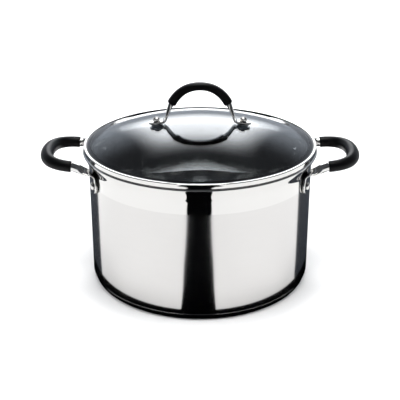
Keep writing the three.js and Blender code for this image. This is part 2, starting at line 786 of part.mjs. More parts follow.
function pot() {
  const group = new THREE.Group();
  const opposite = (geometry) => geometry.clone().rotateZ(Math.PI);
  const holes = [rivetHole(1), rivetHole(-1)];
  group.add(piece('pot_body', potBody([...holes, ...holes.map(opposite)]), steel(0.15)));
  group.add(piece('base_core', baseCore(), aluminium()));
  group.add(piece('base_cap', baseCap(), steel(0.25)));
  group.add(sideHandle('right'));
  group.add(sideHandle('left'));
  return group;
}

function lid() {
  const group = new THREE.Group();
  group.add(piece('lid_glass', lidGlass(), glass()));
  group.add(piece('lid_band', lidBand(), steel(0.1)));
  group.add(piece('lid_seal', lidSeal(), rubber(0x22262a)));
  group.add(piece('lid_handle_arch', archLoop(), steel(0.1)));
  group.add(piece('lid_handle_grip', archGrip(), rubber(0x141516)));
  group.add(...lidFastening('lid_right', 1));
  group.add(...lidFastening('lid_left', -1));
  return group;
}

const stockPot = new THREE.Group();
stockPot.add(pot(), lid());

export default stockPot;
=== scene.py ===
# %% [markdown]
# # A glass-lidded stock pot in satin and mirror-polished steel
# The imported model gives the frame: where every piece is and how large it is. This script dresses that
# frame. It turns the pot, its base and its lid as smooth surfaces of revolution, skins the handles over
# their own centre lines, and gives every surface the finish that its maker would give it.

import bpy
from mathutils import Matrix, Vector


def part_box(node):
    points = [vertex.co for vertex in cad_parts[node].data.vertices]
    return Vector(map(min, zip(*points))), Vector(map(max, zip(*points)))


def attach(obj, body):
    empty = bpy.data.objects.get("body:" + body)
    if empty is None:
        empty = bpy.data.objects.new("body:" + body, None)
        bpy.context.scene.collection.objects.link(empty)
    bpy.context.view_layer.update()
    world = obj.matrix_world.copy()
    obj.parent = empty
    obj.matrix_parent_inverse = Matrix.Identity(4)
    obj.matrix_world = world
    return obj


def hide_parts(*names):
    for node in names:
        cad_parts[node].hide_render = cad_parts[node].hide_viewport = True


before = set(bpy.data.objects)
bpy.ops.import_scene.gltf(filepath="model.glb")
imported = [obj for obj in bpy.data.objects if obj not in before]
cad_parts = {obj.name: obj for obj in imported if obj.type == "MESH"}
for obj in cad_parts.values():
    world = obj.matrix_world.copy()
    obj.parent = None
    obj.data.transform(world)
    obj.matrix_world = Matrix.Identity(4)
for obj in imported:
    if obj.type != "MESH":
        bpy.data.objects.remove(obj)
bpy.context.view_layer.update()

import math

import bmesh
import bpy
import numpy as np
from mathutils import Vector

MM = 0.001
scene = bpy.context.scene

# %% [markdown]
# ## The camera
# A pot this size is usually shown from a little above the rim, so that the lid reads as an oval and
# the wall still looks tall. A long lens keeps the two side handles from looking stretched.

# %% Place the camera
CAMERA_BACK = 904.2
CAMERA_HEIGHT = 472.5
CAMERA_PITCH_DOWN = 23.28
CAMERA_LENS = 80.02


def add_camera():
    data = bpy.data.cameras.new("camera")
    data.lens = CAMERA_LENS
    data.sensor_width = 36
    camera = bpy.data.objects.new("camera", data)
    camera.location = (0, -CAMERA_BACK * MM, CAMERA_HEIGHT * MM)
    camera.rotation_euler = (math.radians(90 - CAMERA_PITCH_DOWN), 0, 0)
    scene.collection.objects.link(camera)
    scene.camera = camera


add_camera()
print("camera:", CAMERA_LENS, "mm lens,", CAMERA_PITCH_DOWN, "degrees down")

# %% [markdown]
# ## Sizes
# Every size below is in millimetres. Each piece's reach and height come from its box in the frame, and
# the sizes that no box can give, such as a sheet's thickness or a bend's radius, are written here once.

# %% Read the sizes
def box_mm(node):
    low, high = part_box(node)
    return np.array(low) / MM, np.array(high) / MM


lip_radius, pot_height = box_mm("pot_body")[1][[0, 2]]
base_top = box_mm("pot_body")[0][2]
cap_radius, cap_height = box_mm("base_cap")[1][[0, 2]]
band_radius, band_top = box_mm("lid_band")[1][[0, 2]]
bead_low = box_mm("lid_band")[0][2]
glass_low, glass_top = box_mm("lid_glass")[0][2], box_mm("lid_glass")[1][2]
glass_radius = box_mm("lid_glass")[1][0]
seal_low, seal_high = box_mm("lid_seal")[0], box_mm("lid_seal")[1]

FLARE_REACH = 5.4      # how far the lip stands out past the wall
WALL_RADIUS = lip_radius - FLARE_REACH
WALL = 1.0             # thickness of the sheet
LIP_BEAD = 1.3         # radius of the rolled lip
FLARE = 16.0           # height of the flare under the lip
POLISH_LINE = 119.1    # satin below this height, mirror polish above it
GAP = 0.3              # clearance between pieces that only rest on each other
print("pot:", round(2 * WALL_RADIUS, 1), "mm across,", round(pot_height, 1), "mm tall")

# %% [markdown]
# ## Tools for making surfaces
# Spun and pressed ware is round, so one tool turns an outline about the pot's axis. Bent tube is the
# other shape here, so a second tool skins a row of cross-sections. Both make clean four-sided faces,
# which take smooth reflections much better than a cut-up mesh does.
#
# Every piece ends in the same way, so that comes first: points in millimetres become a mesh in metres,
# its faces are shaded smooth except at real edges, it takes its finishes, it is hung on the frame's
# empty for the body it rides on, and the solids of the frame that it stands for are hidden.

# %% Finish a mesh
def finish_mesh(name, points, faces, body, finishes, stands_for, zones=None, crease=32):
    """One piece from its points in millimetres. Zones say which finish each face has."""
    mesh = bpy.data.meshes.new(name)
    mesh.from_pydata([tuple(p) for p in np.asarray(points) * MM], [], faces)
    for finish in finishes:
        mesh.materials.append(finish)
    if zones is not None:
        mesh.polygons.foreach_set("material_index", zones)
    work = bmesh.new()
    work.from_mesh(mesh)
    bmesh.ops.recalc_face_normals(work, faces=work.faces)
    work.to_mesh(mesh)
    work.free()
    mesh.polygons.foreach_set("use_smooth", [True] * len(mesh.polygons))
    mesh.set_sharp_from_angle(angle=math.radians(crease))
    made = bpy.data.objects.new(name, mesh)
    scene.collection.objects.link(made)
    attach(made, body)
    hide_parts(*stands_for)
    print(f"{name}: {len(mesh.polygons)} faces")


# %% [markdown]
# A lathe or a spinning chuck makes a shape from one outline, and this tool does the same. Blender's
# Screw modifier could turn it too, but here each face also has to remember which part of the outline it
# came from, so that the satin wall and the polished lip can be two zones of one sheet.

# %% Turn an outline
ON_AXIS = 1e-6


def turn(outline, steps, closed):
    """Points and faces of an outline of (radius, height) turned about the Z axis."""
    angles = 2 * np.pi * np.arange(steps) / steps
    points, rows = [], []
    for radius, height in outline:
        if radius < ON_AXIS:
            rows.append([len(points)] * steps)
            points.append((0, 0, height))
            continue
        rows.append(list(range(len(points), len(points) + steps)))
        points.extend((radius * math.cos(a), radius * math.sin(a), height) for a in angles)
    faces, owner = [], []
    pairs = list(zip(rows, rows[1:])) + ([(rows[-1], rows[0])] if closed else [])
    for k, (low, high) in enumerate(pairs):
        for i in range(steps):
            j = (i + 1) % steps
            face = list(dict.fromkeys((low[i], low[j], high[j], high[i])))
            if len(face) > 2:
                faces.append(face)
                owner.append(k)
    return np.array(points, float), faces, owner


# %% [markdown]
# Outlines are made of straight runs, round corners and soft changes of slope. These three helpers give
# the corners and the changes, in the way that a drawing compass and a French curve would.

# %% Arcs and blends
def arc(centre, radius, start, end, steps):
    """Points on an arc about a centre, from one angle to another in degrees."""
    angles = np.radians(np.linspace(start, end, steps + 1))
    return [(centre[0] + radius * math.cos(a), centre[1] + radius * math.sin(a)) for a in angles]


def mix(a, b, share):
    return a + (b - a) * share


def ease(share):
    """A share of the way from 0 to 1 that starts and stops gently."""
    share = min(max(share, 0.0), 1.0)
    return share * share * (3 - 2 * share)


print("a quarter round in 8 steps has", len(arc((0, 0), 1, 0, 90, 8)), "points")

# %% [markdown]
# ## Tools for finishes
# A colour is written as its sRGB hex value, as a paint chart gives it, and turned to the linear values
# that the renderer adds up. Every node is added by the same small function.

# %% Material tools
def linear(hex_colour):
    """An sRGB hex colour as linear values, with full opacity."""
    parts = [int(hex_colour[i:i + 2], 16) / 255 for i in (1, 3, 5)]
    return tuple(c / 12.92 if c <= 0.04045 else ((c + 0.055) / 1.055) ** 2.4 for c in parts) + (1.0,)


def add(tree, kind, inputs=None, **settings):
    """A node with its settings. An input is either a number or colour, or another node's output."""
    node = tree.nodes.new(kind)
    for name, value in settings.items():
        setattr(node, name, value)
    for name, value in (inputs or {}).items():
        if isinstance(value, bpy.types.NodeSocket):
            tree.links.new(value, node.inputs[name])
        else:
            node.inputs[name].default_value = value
    return node


def new_material(name):
    material = bpy.data.materials.new(name)
    material.use_nodes = True
    tree = material.node_tree
    tree.nodes.clear()
    return material, tree


def put_on_surface(tree, shader):
    add(tree, "ShaderNodeOutputMaterial", {"Surface": shader})


def around_axis(tree):
    """Coordinates that unroll the pot: the angle round the axis, metres up, and the radius."""
    place = add(tree, "ShaderNodeTexCoord").outputs["Object"]
    parts = add(tree, "ShaderNodeSeparateXYZ", {"Vector": place}).outputs
    angle = add(tree, "ShaderNodeMath", {0: parts["Y"], 1: parts["X"]}, operation="ARCTAN2")
    flat = add(tree, "ShaderNodeCombineXYZ", {"X": parts["X"], "Y": parts["Y"]})
    radius = add(tree, "ShaderNodeVectorMath", {0: flat.outputs[0]}, operation="LENGTH")
    return angle.outputs[0], parts["Z"], radius.outputs["Value"], place


print("white is", linear("#FFFFFF")[:3], "and middle grey is", round(linear("#808080")[0], 3))

# %% [markdown]
# ## Stainless steel
# The pot is pressed from 18/10 stainless sheet. One steel gives three looks here: mirror polish on the
# lip, the band and the handles, a satin grain that a belt lays round the wall, and a turned grain on
# the base. The metal is the same, so mostly the roughness, the grain and the marks of use differ. The
# one exception is the pot's inside floor, whose colour is made much darker as painted shade for the dim
# bottom of the covered pot.
#
# Mirror polish is buffed with soft wheels until it reflects like a looking glass. Two things give real
# polish away: faint clouds where a cloth has wiped it, and hairlines that only catch a bright lamp.

# %% Mirror-polished steel
STEEL = "#CBCAC8"
MIRROR_ROUGHNESS = 0.05
WIPE_CLOUDS = 45.0                    # per metre, so a wiped cloud is about 22 mm across
HAIRLINES = (900.0, 900.0, 9000.0)    # per metre, so hairlines are about 1 mm long, 0.1 mm apart
HAIRLINE_DEPTH = 0.05 * MM


def polished_steel(name, colour=STEEL, roughness=MIRROR_ROUGHNESS, wipe=0.03):
    """Mirror-polished stainless steel: buffed until it reflects, with faint wipe marks and hairlines."""
    material, tree = new_material(name)
    place = add(tree, "ShaderNodeTexCoord").outputs["Object"]
    cloud = add(tree, "ShaderNodeTexNoise", {"Vector": place, "Scale": WIPE_CLOUDS,
                "Detail": 3.0})
    rough = add(tree, "ShaderNodeMapRange", {"Value": cloud.outputs["Fac"], "From Min": 0.35,
                "From Max": 0.7, "To Min": roughness, "To Max": roughness + wipe})
    stretch = add(tree, "ShaderNodeMapping", {"Vector": place, "Scale": HAIRLINES})
    hairline = add(tree, "ShaderNodeTexNoise", {"Vector": stretch.outputs[0], "Scale": 1.0,
                   "Detail": 2.0})
    bump = add(tree, "ShaderNodeBump", {"Height": hairline.outputs["Fac"], "Strength": 0.03,
               "Distance": HAIRLINE_DEPTH})
    shader = add(tree, "ShaderNodeBsdfPrincipled", {"Base Color": linear(colour), "Metallic": 1.0,
                 "Roughness": rough.outputs[0], "Normal": bump.outputs[0]})
    put_on_surface(tree, shader.outputs[0])
    return material


mirror_steel = polished_steel("mirror_polished_steel")
lip_steel = polished_steel("mirror_polished_wall", roughness=0.035, wipe=0.02)
fastener_steel = polished_steel("tumbled_fastener_steel", "#C9C8C6", 0.12, 0.05)
print("mirror roughness:", MIRROR_ROUGHNESS)

# %% [markdown]
# The satin part of the wall is ground with a belt while the pot spins, so its scratches run round it.
# Real scratches are about 0.05 mm apart, too fine to show, so the coarsest are drawn 0.3 mm apart.

# %% Satin wall steel
GRAIN_SPACING = 0.3 * MM
GRAIN_LENGTH = 40 * MM
GRAIN_DEPTH = 0.04 * MM
WORN_CLOUDS = 18.0     # per metre, so a duller patch is about 55 mm across


def grained_steel(name, colour, roughness, spread, relief, across="height", anisotropic=0.5):
    """Ground steel: a belt or brush leaves fine scratches round the pot, which blur along it."""
    material, tree = new_material(name)
    angle, height, radius, place = around_axis(tree)
    step = height if across == "height" else radius
    round_wall = add(tree, "ShaderNodeMath", {0: angle, 1: WALL_RADIUS * MM / GRAIN_LENGTH},
                     operation="MULTIPLY")
    up_wall = add(tree, "ShaderNodeMath", {0: step, 1: 1.0 / GRAIN_SPACING}, operation="MULTIPLY")
    lay = add(tree, "ShaderNodeCombineXYZ", {"X": round_wall.outputs[0], "Y": up_wall.outputs[0]})
    grain = add(tree, "ShaderNodeTexNoise", {"Vector": lay.outputs[0], "Scale": 1.0, "Detail": 6.0,
                "Roughness": 0.7})
    cloud = add(tree, "ShaderNodeTexNoise", {"Vector": place, "Scale": WORN_CLOUDS,
                "Detail": 3.0})
    rough = add(tree, "ShaderNodeMapRange", {"Value": grain.outputs["Fac"], "From Min": 0.3,
                "From Max": 0.7, "To Min": roughness - spread, "To Max": roughness + spread})
    dull = add(tree, "ShaderNodeMath", {0: cloud.outputs["Fac"], 1: 0.04, 2: rough.outputs[0]},
               operation="MULTIPLY_ADD")
    tone = add(tree, "ShaderNodeMixRGB", {"Fac": grain.outputs["Fac"], "Color1": linear(colour),
               "Color2": linear(STEEL)})
    bump = add(tree, "ShaderNodeBump", {"Height": grain.outputs["Fac"], "Strength": relief,
               "Distance": GRAIN_DEPTH})
    tangent = add(tree, "ShaderNodeTangent", direction_type="RADIAL", axis="Z")
    shader = add(tree, "ShaderNodeBsdfPrincipled", {"Base Color": tone.outputs[0], "Metallic": 1.0,
                 "Roughness": dull.outputs[0], "Anisotropic": anisotropic,
                 "Tangent": tangent.outputs[0], "Normal": bump.outputs[0]})
    put_on_surface(tree, shader.outputs[0])
    return material


satin_steel = grained_steel("satin_belt_ground_steel", "#B9B7B6", 0.085, 0.015, 0.05,
                            anisotropic=0.35)
inside_steel = grained_steel("polished_inside_steel", "#B5B3AF", 0.07, 0.02, 0.05, anisotropic=0.3)
# The inside floor is the same steel as the inside wall, but its colour is made much darker: painted
# shade for the dim bottom of the covered pot. Its turned grain is real.
floor_steel_painted_shade = grained_steel("turned_floor_steel_painted_shade", "#6F706E", 0.16, 0.04, 0.2, across="radius")
base_steel = grained_steel("turned_base_steel", "#ABAAA8", 0.22, 0.06, 0.4, across="radius")
print("grain:", GRAIN_SPACING / MM, "mm apart,", GRAIN_LENGTH / MM, "mm long")


# %% [markdown]
# ## Aluminium
# The disc in the base is cut from rolled aluminium sheet. The cap hides it, but a reader who lifts the
# cap away should find metal there: a soft grey with the straight lines that the rollers leave. Its
# shape is already right in the frame, so the solid stays and only gets this finish.

# %% Aluminium core
ROLL_LINES = (30.0, 1500.0, 1500.0)    # per metre, so lines are about 33 mm long, 0.7 mm apart


def rolled_aluminium():
    """Rolled aluminium: a soft grey metal with straight roll lines."""
    material, tree = new_material("rolled_aluminium")
    place = add(tree, "ShaderNodeTexCoord").outputs["Object"]
    stretch = add(tree, "ShaderNodeMapping", {"Vector": place, "Scale": ROLL_LINES})
    lines = add(tree, "ShaderNodeTexNoise", {"Vector": stretch.outputs[0], "Scale": 1.0,
                "Detail": 4.0})
    rough = add(tree, "ShaderNodeMapRange", {"Value": lines.outputs["Fac"], "To Min": 0.35,
                "To Max": 0.55})
    shader = add(tree, "ShaderNodeBsdfPrincipled", {"Base Color": linear("#D6D7D9"), "Metallic": 1.0,
                 "Roughness": rough.outputs[0]})
    put_on_surface(tree, shader.outputs[0])
    return material


core_aluminium = rolled_aluminium()
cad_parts["base_core"].data.materials.clear()
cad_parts["base_core"].data.materials.append(core_aluminium)
print("base core: rolled aluminium")

# %% [markdown]
# ## Silicone
# The sleeves are moulded silicone rubber: black, dry to the touch, with a broad dull shine. The mould
# is spark-eroded, which leaves pits about a third of a millimetre wide in every moulding, and hands
# polish the rubber a little where they hold it. The seal is the same rubber, and the bushes and pads
# on the screws are a grey one.

# %% Moulded silicone
SILICONE_IOR = 1.41
MOULD_PIT = 0.35
PIT_DEPTH = 0.1 * MM
HANDLED_CLOUDS = 60.0    # per metre, so a handled patch is about 17 mm across


def moulded_silicone(name, colour, worn, roughness=0.34):
    """Moulded silicone rubber: dark, matt and pitted, with a slightly paler tone where it is worn."""
    material, tree = new_material(name)
    place = add(tree, "ShaderNodeTexCoord").outputs["Object"]
    pits = add(tree, "ShaderNodeTexNoise", {"Vector": place, "Scale": 1.0 / (MOULD_PIT * MM),
               "Detail": 2.0})
    cloud = add(tree, "ShaderNodeTexNoise", {"Vector": place, "Scale": HANDLED_CLOUDS,
                "Detail": 4.0})
    handled = add(tree, "ShaderNodeMapRange", {"Value": cloud.outputs["Fac"], "From Min": 0.4,
                  "From Max": 0.75})
    tone = add(tree, "ShaderNodeMixRGB", {"Fac": handled.outputs[0], "Color1": linear(colour),
               "Color2": linear(worn)})
    rough = add(tree, "ShaderNodeMapRange", {"Value": cloud.outputs["Fac"], "To Min": roughness - 0.06,
                "To Max": roughness + 0.1})
    bump = add(tree, "ShaderNodeBump", {"Height": pits.outputs["Fac"], "Strength": 0.25,
               "Distance": PIT_DEPTH})
    shader = add(tree, "ShaderNodeBsdfPrincipled", {"Base Color": tone.outputs[0],
                 "IOR": SILICONE_IOR, "Roughness": rough.outputs[0], "Normal": bump.outputs[0],
                 "Specular IOR Level": 0.16})
    put_on_surface(tree, shader.outputs[0])
    return material


grip_silicone = moulded_silicone("black_moulded_silicone", "#030304", "#070708")
seal_silicone = moulded_silicone("seal_silicone", "#020203", "#050506", 0.6)
bush_silicone = moulded_silicone("grey_bush_silicone", "#3E4246", "#4A4E52", 0.5)
print("silicone: mould texture", MOULD_PIT, "mm")

# %% [markdown]
# ## Glass
# The lid is soda-lime glass, pressed and then tempered, with a smooth fired surface and the faint grey
# of its iron. Light that only passes through on its way to the pot's inside is let straight through,
# because following it round the curve would leave bright speckles in there.
#
# Round its edge the glass lies on the black seal. That ring is dark right through, so it gets a finish
# of its own: black, with the glass's shine on top.

# %% Tempered glass
GLASS_IOR = 1.52
GLASS_CAST = "#CDD2D6"
FINGER_SMEARS = 30.0     # per metre, so a smear is about 33 mm across
SEAL_MOTTLE = 120.0      # per metre, so the seal's tone varies over about 8 mm


def tempered_glass():
    """Tempered soda-lime glass: clear with a grey cast, fire-polished, with a trace of finger marks."""
    material, tree = new_material("tempered_glass")
    place = add(tree, "ShaderNodeTexCoord").outputs["Object"]
    smear = add(tree, "ShaderNodeTexNoise", {"Vector": place, "Scale": FINGER_SMEARS,
                "Detail": 5.0, "Distortion": 1.5})
    rough = add(tree, "ShaderNodeMapRange", {"Value": smear.outputs["Fac"], "From Min": 0.5,
                "From Max": 0.8, "To Min": 0.0, "To Max": 0.03})
    glass = add(tree, "ShaderNodeBsdfPrincipled", {"Base Color": linear(GLASS_CAST),
                "IOR": GLASS_IOR, "Roughness": rough.outputs[0], "Transmission Weight": 1.0})
    clear = add(tree, "ShaderNodeBsdfTransparent", {"Color": linear(GLASS_CAST)})
    rays = add(tree, "ShaderNodeLightPath")
    both = add(tree, "ShaderNodeMixShader", {0: rays.outputs["Is Shadow Ray"], 1: glass.outputs[0],
               2: clear.outputs[0]})
    put_on_surface(tree, both.outputs[0])
    return material


def glass_on_seal():
    """The glass's edge where it lies on the black seal: dark right through, with a glass surface."""
    material, tree = new_material("glass_bedded_on_black_seal")
    place = add(tree, "ShaderNodeTexCoord").outputs["Object"]
    cloud = add(tree, "ShaderNodeTexNoise", {"Vector": place, "Scale": SEAL_MOTTLE,
                "Detail": 3.0})
    tone = add(tree, "ShaderNodeMixRGB", {"Fac": cloud.outputs["Fac"], "Color1": linear("#050607"),
               "Color2": linear("#0C0E10")})
    shader = add(tree, "ShaderNodeBsdfPrincipled", {"Base Color": tone.outputs[0],
                 "IOR": GLASS_IOR, "Roughness": 0.04})
    put_on_surface(tree, shader.outputs[0])
    return material


lid_glass_finish = tempered_glass()
bedded_glass = glass_on_seal()
print("glass IOR:", GLASS_IOR)

# %% [markdown]
# ## The pot
# The body is one sheet, deep drawn and then spun: a flat bottom, a straight wall, a flare and a rolled
# lip. Its outline is drawn once, up the outside and down the inside, and turned.
#
# The lip is rolled over and then rubbed down to a bevel, with one tight edge below. That edge is what
# draws the thin dark line under the lid, so it is worth its own points.

# %% Pot body
ROUND = 256            # faces round the pot, enough for smooth reflections
CORNER = 3.0           # radius of the bend between the bottom and the wall
BEVEL_WIDE = 2.4
BEVEL_HIGH = 2.0
WALL_RINGS = (45.0, 85.0, POLISH_LINE)
FLOOR_RINGS = (100, 60, 30, 0)
lip_centre = (lip_radius - LIP_BEAD, pot_height - LIP_BEAD)
flare_foot = pot_height - FLARE


def flare(inset, steps=26):
    """The flare's outline. The outside stops short of the lip, whose edge takes over there."""
    rise = lip_centre[1] - flare_foot
    reach = lip_centre[0] - WALL_RADIUS
    line = [(WALL_RADIUS + reach * ease(i / steps) - inset, flare_foot + rise * i / steps)
            for i in range(steps + 1)]
    return [p for p in line if inset or p[1] < lip_centre[1] - 0.87 * LIP_BEAD]


def pot_outline():
    """The outline in parts: bottom, wall, flare, lip, then down the inside to the floor."""
    corner = (WALL_RADIUS - CORNER, base_top + CORNER)
    floor = base_top + WALL
    bottom = [(0, base_top), (60, base_top)] + arc(corner, CORNER, -90, 0, 8)
    wall = [(WALL_RADIUS, z) for z in WALL_RINGS]
    edge = [(lip_radius - 0.6, pot_height - BEVEL_HIGH - 0.45),
            (lip_radius - 0.15, pot_height - BEVEL_HIGH - 0.3)]
    bevel = [(lip_radius - BEVEL_WIDE + BEVEL_WIDE * math.cos(a),
              pot_height - BEVEL_HIGH + BEVEL_HIGH * math.sin(a))
             for a in np.radians(np.linspace(0, 90, 14))]
    roll = edge + bevel + [(lip_centre[0] - LIP_BEAD + 0.05, pot_height - 0.4)]
    inside = list(reversed(flare(WALL)[:-1]))
    inner_corner = arc(corner, CORNER - WALL, 0, -90, 8)
    rings = [(r, floor) for r in FLOOR_RINGS]
    return bottom, wall, flare(0.0), roll, inside, inner_corner, rings


def make_pot():
    parts = pot_outline()
    outline = [p for part in parts for p in part]
    points, faces, owner = turn(outline, ROUND, closed=False)
    ends = np.cumsum([len(part) for part in parts])
    satin_until = ends[1] - 1
    lip_until = ends[3]
    inside_until = ends[5] - 1
    zones = [0 if k < satin_until else 1 if k < lip_until else 2 if k < inside_until else 3
             for k in owner]
    finish_mesh("pot_shell", points, faces, "pot",
                [satin_steel, lip_steel, inside_steel, floor_steel_painted_shade],
                ["pot_body"], zones)


make_pot()

# %% [markdown]
# ## The base
# A steel cap is pressed over an aluminium disc, which spreads the heat. Its edge is a large round, and
# its underside is faced on a lathe, which leaves shallow rings that keep it flat when it gets hot.

# %% Base cap
CAP_CORNER = 5.2
CAP_SHEET = 1.2
RIM_ROUND = 0.4
DISH_RADIUS = 20.0     # the middle of the underside is turned half a millimetre hollow
DISH_DEPTH = 0.5
FIRST_RING = 24.0
RING_PITCH = 6.0
RING_DEPTH = 0.25


def make_base():
    edge = cap_radius - CAP_CORNER
    foot = [(0, DISH_DEPTH), (DISH_RADIUS, DISH_DEPTH), (DISH_RADIUS + 0.6, 0.12)]
    radius = FIRST_RING
    while radius < edge - RING_PITCH:
        foot += [(radius, 0.0), (radius + 0.55 * RING_PITCH, 0.0),
                 (radius + 0.65 * RING_PITCH, RING_DEPTH), (radius + 0.9 * RING_PITCH, RING_DEPTH)]
        radius += RING_PITCH
    outer = arc((edge, CAP_CORNER), CAP_CORNER, -90, 0, 14)
    rim = arc((cap_radius - RIM_ROUND, cap_height - RIM_ROUND), RIM_ROUND, 0, 90, 4)
    inner = [(cap_radius - CAP_SHEET, cap_height - 0.2)]
    inner += arc((edge, CAP_CORNER), CAP_CORNER - CAP_SHEET, 0, -90, 6)
    parts = [foot, outer, rim, inner, [(0, CAP_SHEET)]]
    outline = [p for part in parts for p in part]
    points, faces, owner = turn(outline, ROUND, closed=False)
    zones = [0 if k < len(foot) else 1 for k in owner]
    finish_mesh("base_plate", points, faces, "pot", [base_steel, lip_steel], ["base_cap"],
                zones, crease=24)


make_base()

# %% [markdown]
# ## Tools for bent tube
# A handle starts as a straight tube. Its ends are pressed flat into tabs, then it is bent. A row of
# sections along its centre line, round in the middle and flat at the ends, gives that shape.

# %% Centre lines and sections
SIDES = 40
UP = np.array([0.0, 0.0, 1.0])
ACROSS = np.array([0.0, 1.0, 0.0])


def unit(vector):
    """The same direction, one long."""
    vector = np.array(vector, float)
    return vector / np.linalg.norm(vector)


def bezier(controls, share):
    """Point and direction on a smooth curve, by repeated blending of its control points."""
    points = [np.array(p, float) for p in controls]
    while len(points) > 2:
        points = [mix(a, b, share) for a, b in zip(points, points[1:])]
    return mix(points[0], points[1], share), unit(points[1] - points[0])


def section(centre, along, wide, half_wide, half_deep, square=2.0):
    """One cross-section: an oval that turns into a rounded rectangle as square grows from 2."""
    wide = np.array(wide, float)
    across = unit(wide - along * wide.dot(along))
    deep = np.cross(along, across)
    angles = 2 * np.pi * (np.arange(SIDES) + 0.5) / SIDES
    c, s = np.cos(angles), np.sin(angles)
    c = np.sign(c) * np.abs(c) ** (2 / square)
    s = np.sign(s) * np.abs(s) ** (2 / square)
    return centre + np.outer(half_wide * c, across) + np.outer(half_deep * s, deep)


print("a section has", SIDES, "points")

# %% [markdown]
# The press leaves each tab with a round end. Its sections get narrower along a quarter circle and stop
# just short of nothing, so that the last face still has an area. The other tools join the sections up,
# and copy half a loop to make a whole one, because both handles are the same on either side.

# %% Skins
TAB_ROUND = (1.0, 0.995, 0.98, 0.95, 0.9, 0.82, 0.7, 0.5, 0.25, 0.0)
TAB_TIP = 0.06         # the tip is this share of the tab's width
TAB_SQUARE = 5         # how square a tab's section is


def rounded_end(share, wide, thick):
    """Half sizes of a tab's section at a share of the way out to its round end."""
    return (wide / 2 * max(math.sqrt(1 - max(share, 0) ** 2), TAB_TIP),
            thick / 2 * (0.75 if share > 0.99 else 1))


def skin(rings, closed):
    """Points and faces over a row of sections, joined end to end or capped."""
    points = np.concatenate(rings)
    count = len(rings)
    faces = []
    for k in range(count if closed else count - 1):
        a, b = k * SIDES, (k + 1) % count * SIDES
        for i in range(SIDES):
            j = (i + 1) % SIDES
            faces.append([a + i, a + j, b + j, b + i])
    if not closed:
        faces.append(list(range(SIDES))[::-1])
        faces.append(list(range((count - 1) * SIDES, count * SIDES)))
    return points, faces


def both_halves(rings, axis, closed):
    """Adds the mirror image of half a loop, whose last section lies on the mirror plane."""
    flip = np.ones(3)
    flip[axis] = -1
    other = [ring * flip for ring in rings[:-1]][::-1]
    return rings + (other[:-1] if closed else other)


def half_turn(points):
    """The same piece on the other side of the pot."""
    return points * np.array([-1, -1, 1])


print("a tab's round end has", len(TAB_ROUND), "sections")

# %% [markdown]
# ## The side handles
# Each handle is a loop of tube whose two flat tabs are riveted to the wall just under the flare. A
# silicone sleeve, thickest round the bend, keeps the hand off the hot steel.

# %% Side handle sizes
grip_reach = box_mm("right_handle_grip")[1][0]
rivet_low, rivet_high = box_mm("right_front_rivet")
TUBE = 9.4             # the tube's diameter
GRIP_END = 5.95        # the sleeve's outer radius at its ends
GRIP_BEND = 7.1        # and at the bend
HALF_SPAN = 38.5       # from the middle of the handle to a leg
LEG_OUT = 14.2         # from the wall to where the sleeve starts
LEG_DROP = 9.7         # from the top of the pot down to the legs
BEND_RISE = 2.8        # how much higher the bend is than the legs
TAB_WIDE = 16.0
TAB_THICK = 2.6
TAB_END = 8.0          # from the rivet down to the tab's round end
TAB_TOP = 12.0         # from the rivet up to the tab's bend
TAB_BEND = 5.5
TAB_SLANT = math.radians(18)
RIVET_TURN = math.radians(25.5)
rivet_height = (rivet_low[2] + rivet_high[2]) / 2
leg_height = pot_height - LEG_DROP
bend_reach = grip_reach - GRIP_BEND
print("side handle: reaches", round(grip_reach - WALL_RADIUS, 1), "mm from the wall")

# %% [markdown]
# The loop could be one curve with a bevel, but a bevel can't change from a flat tab to a round tube. So
# sections are laid one by one: down the tab from its round end, over the bend at its top, out along a
# leg that swells from flat to round, and round to the middle of the grip. The other half is its mirror
# image, and the left handle is the right one turned half way round the pot.

# %% Side handle steel
def grip_line():
    """Control points of the tube's centre line inside the sleeve, from one end to the middle."""
    start = np.array([WALL_RADIUS + LEG_OUT, -HALF_SPAN, leg_height])
    bend = np.array([bend_reach, 0, leg_height + BEND_RISE])
    depth = bend[0] - start[0]
    return [start, start + [0.72 * depth, 0.5, 0.72 * BEND_RISE],
            bend + [0, -0.62 * HALF_SPAN, 0], bend]


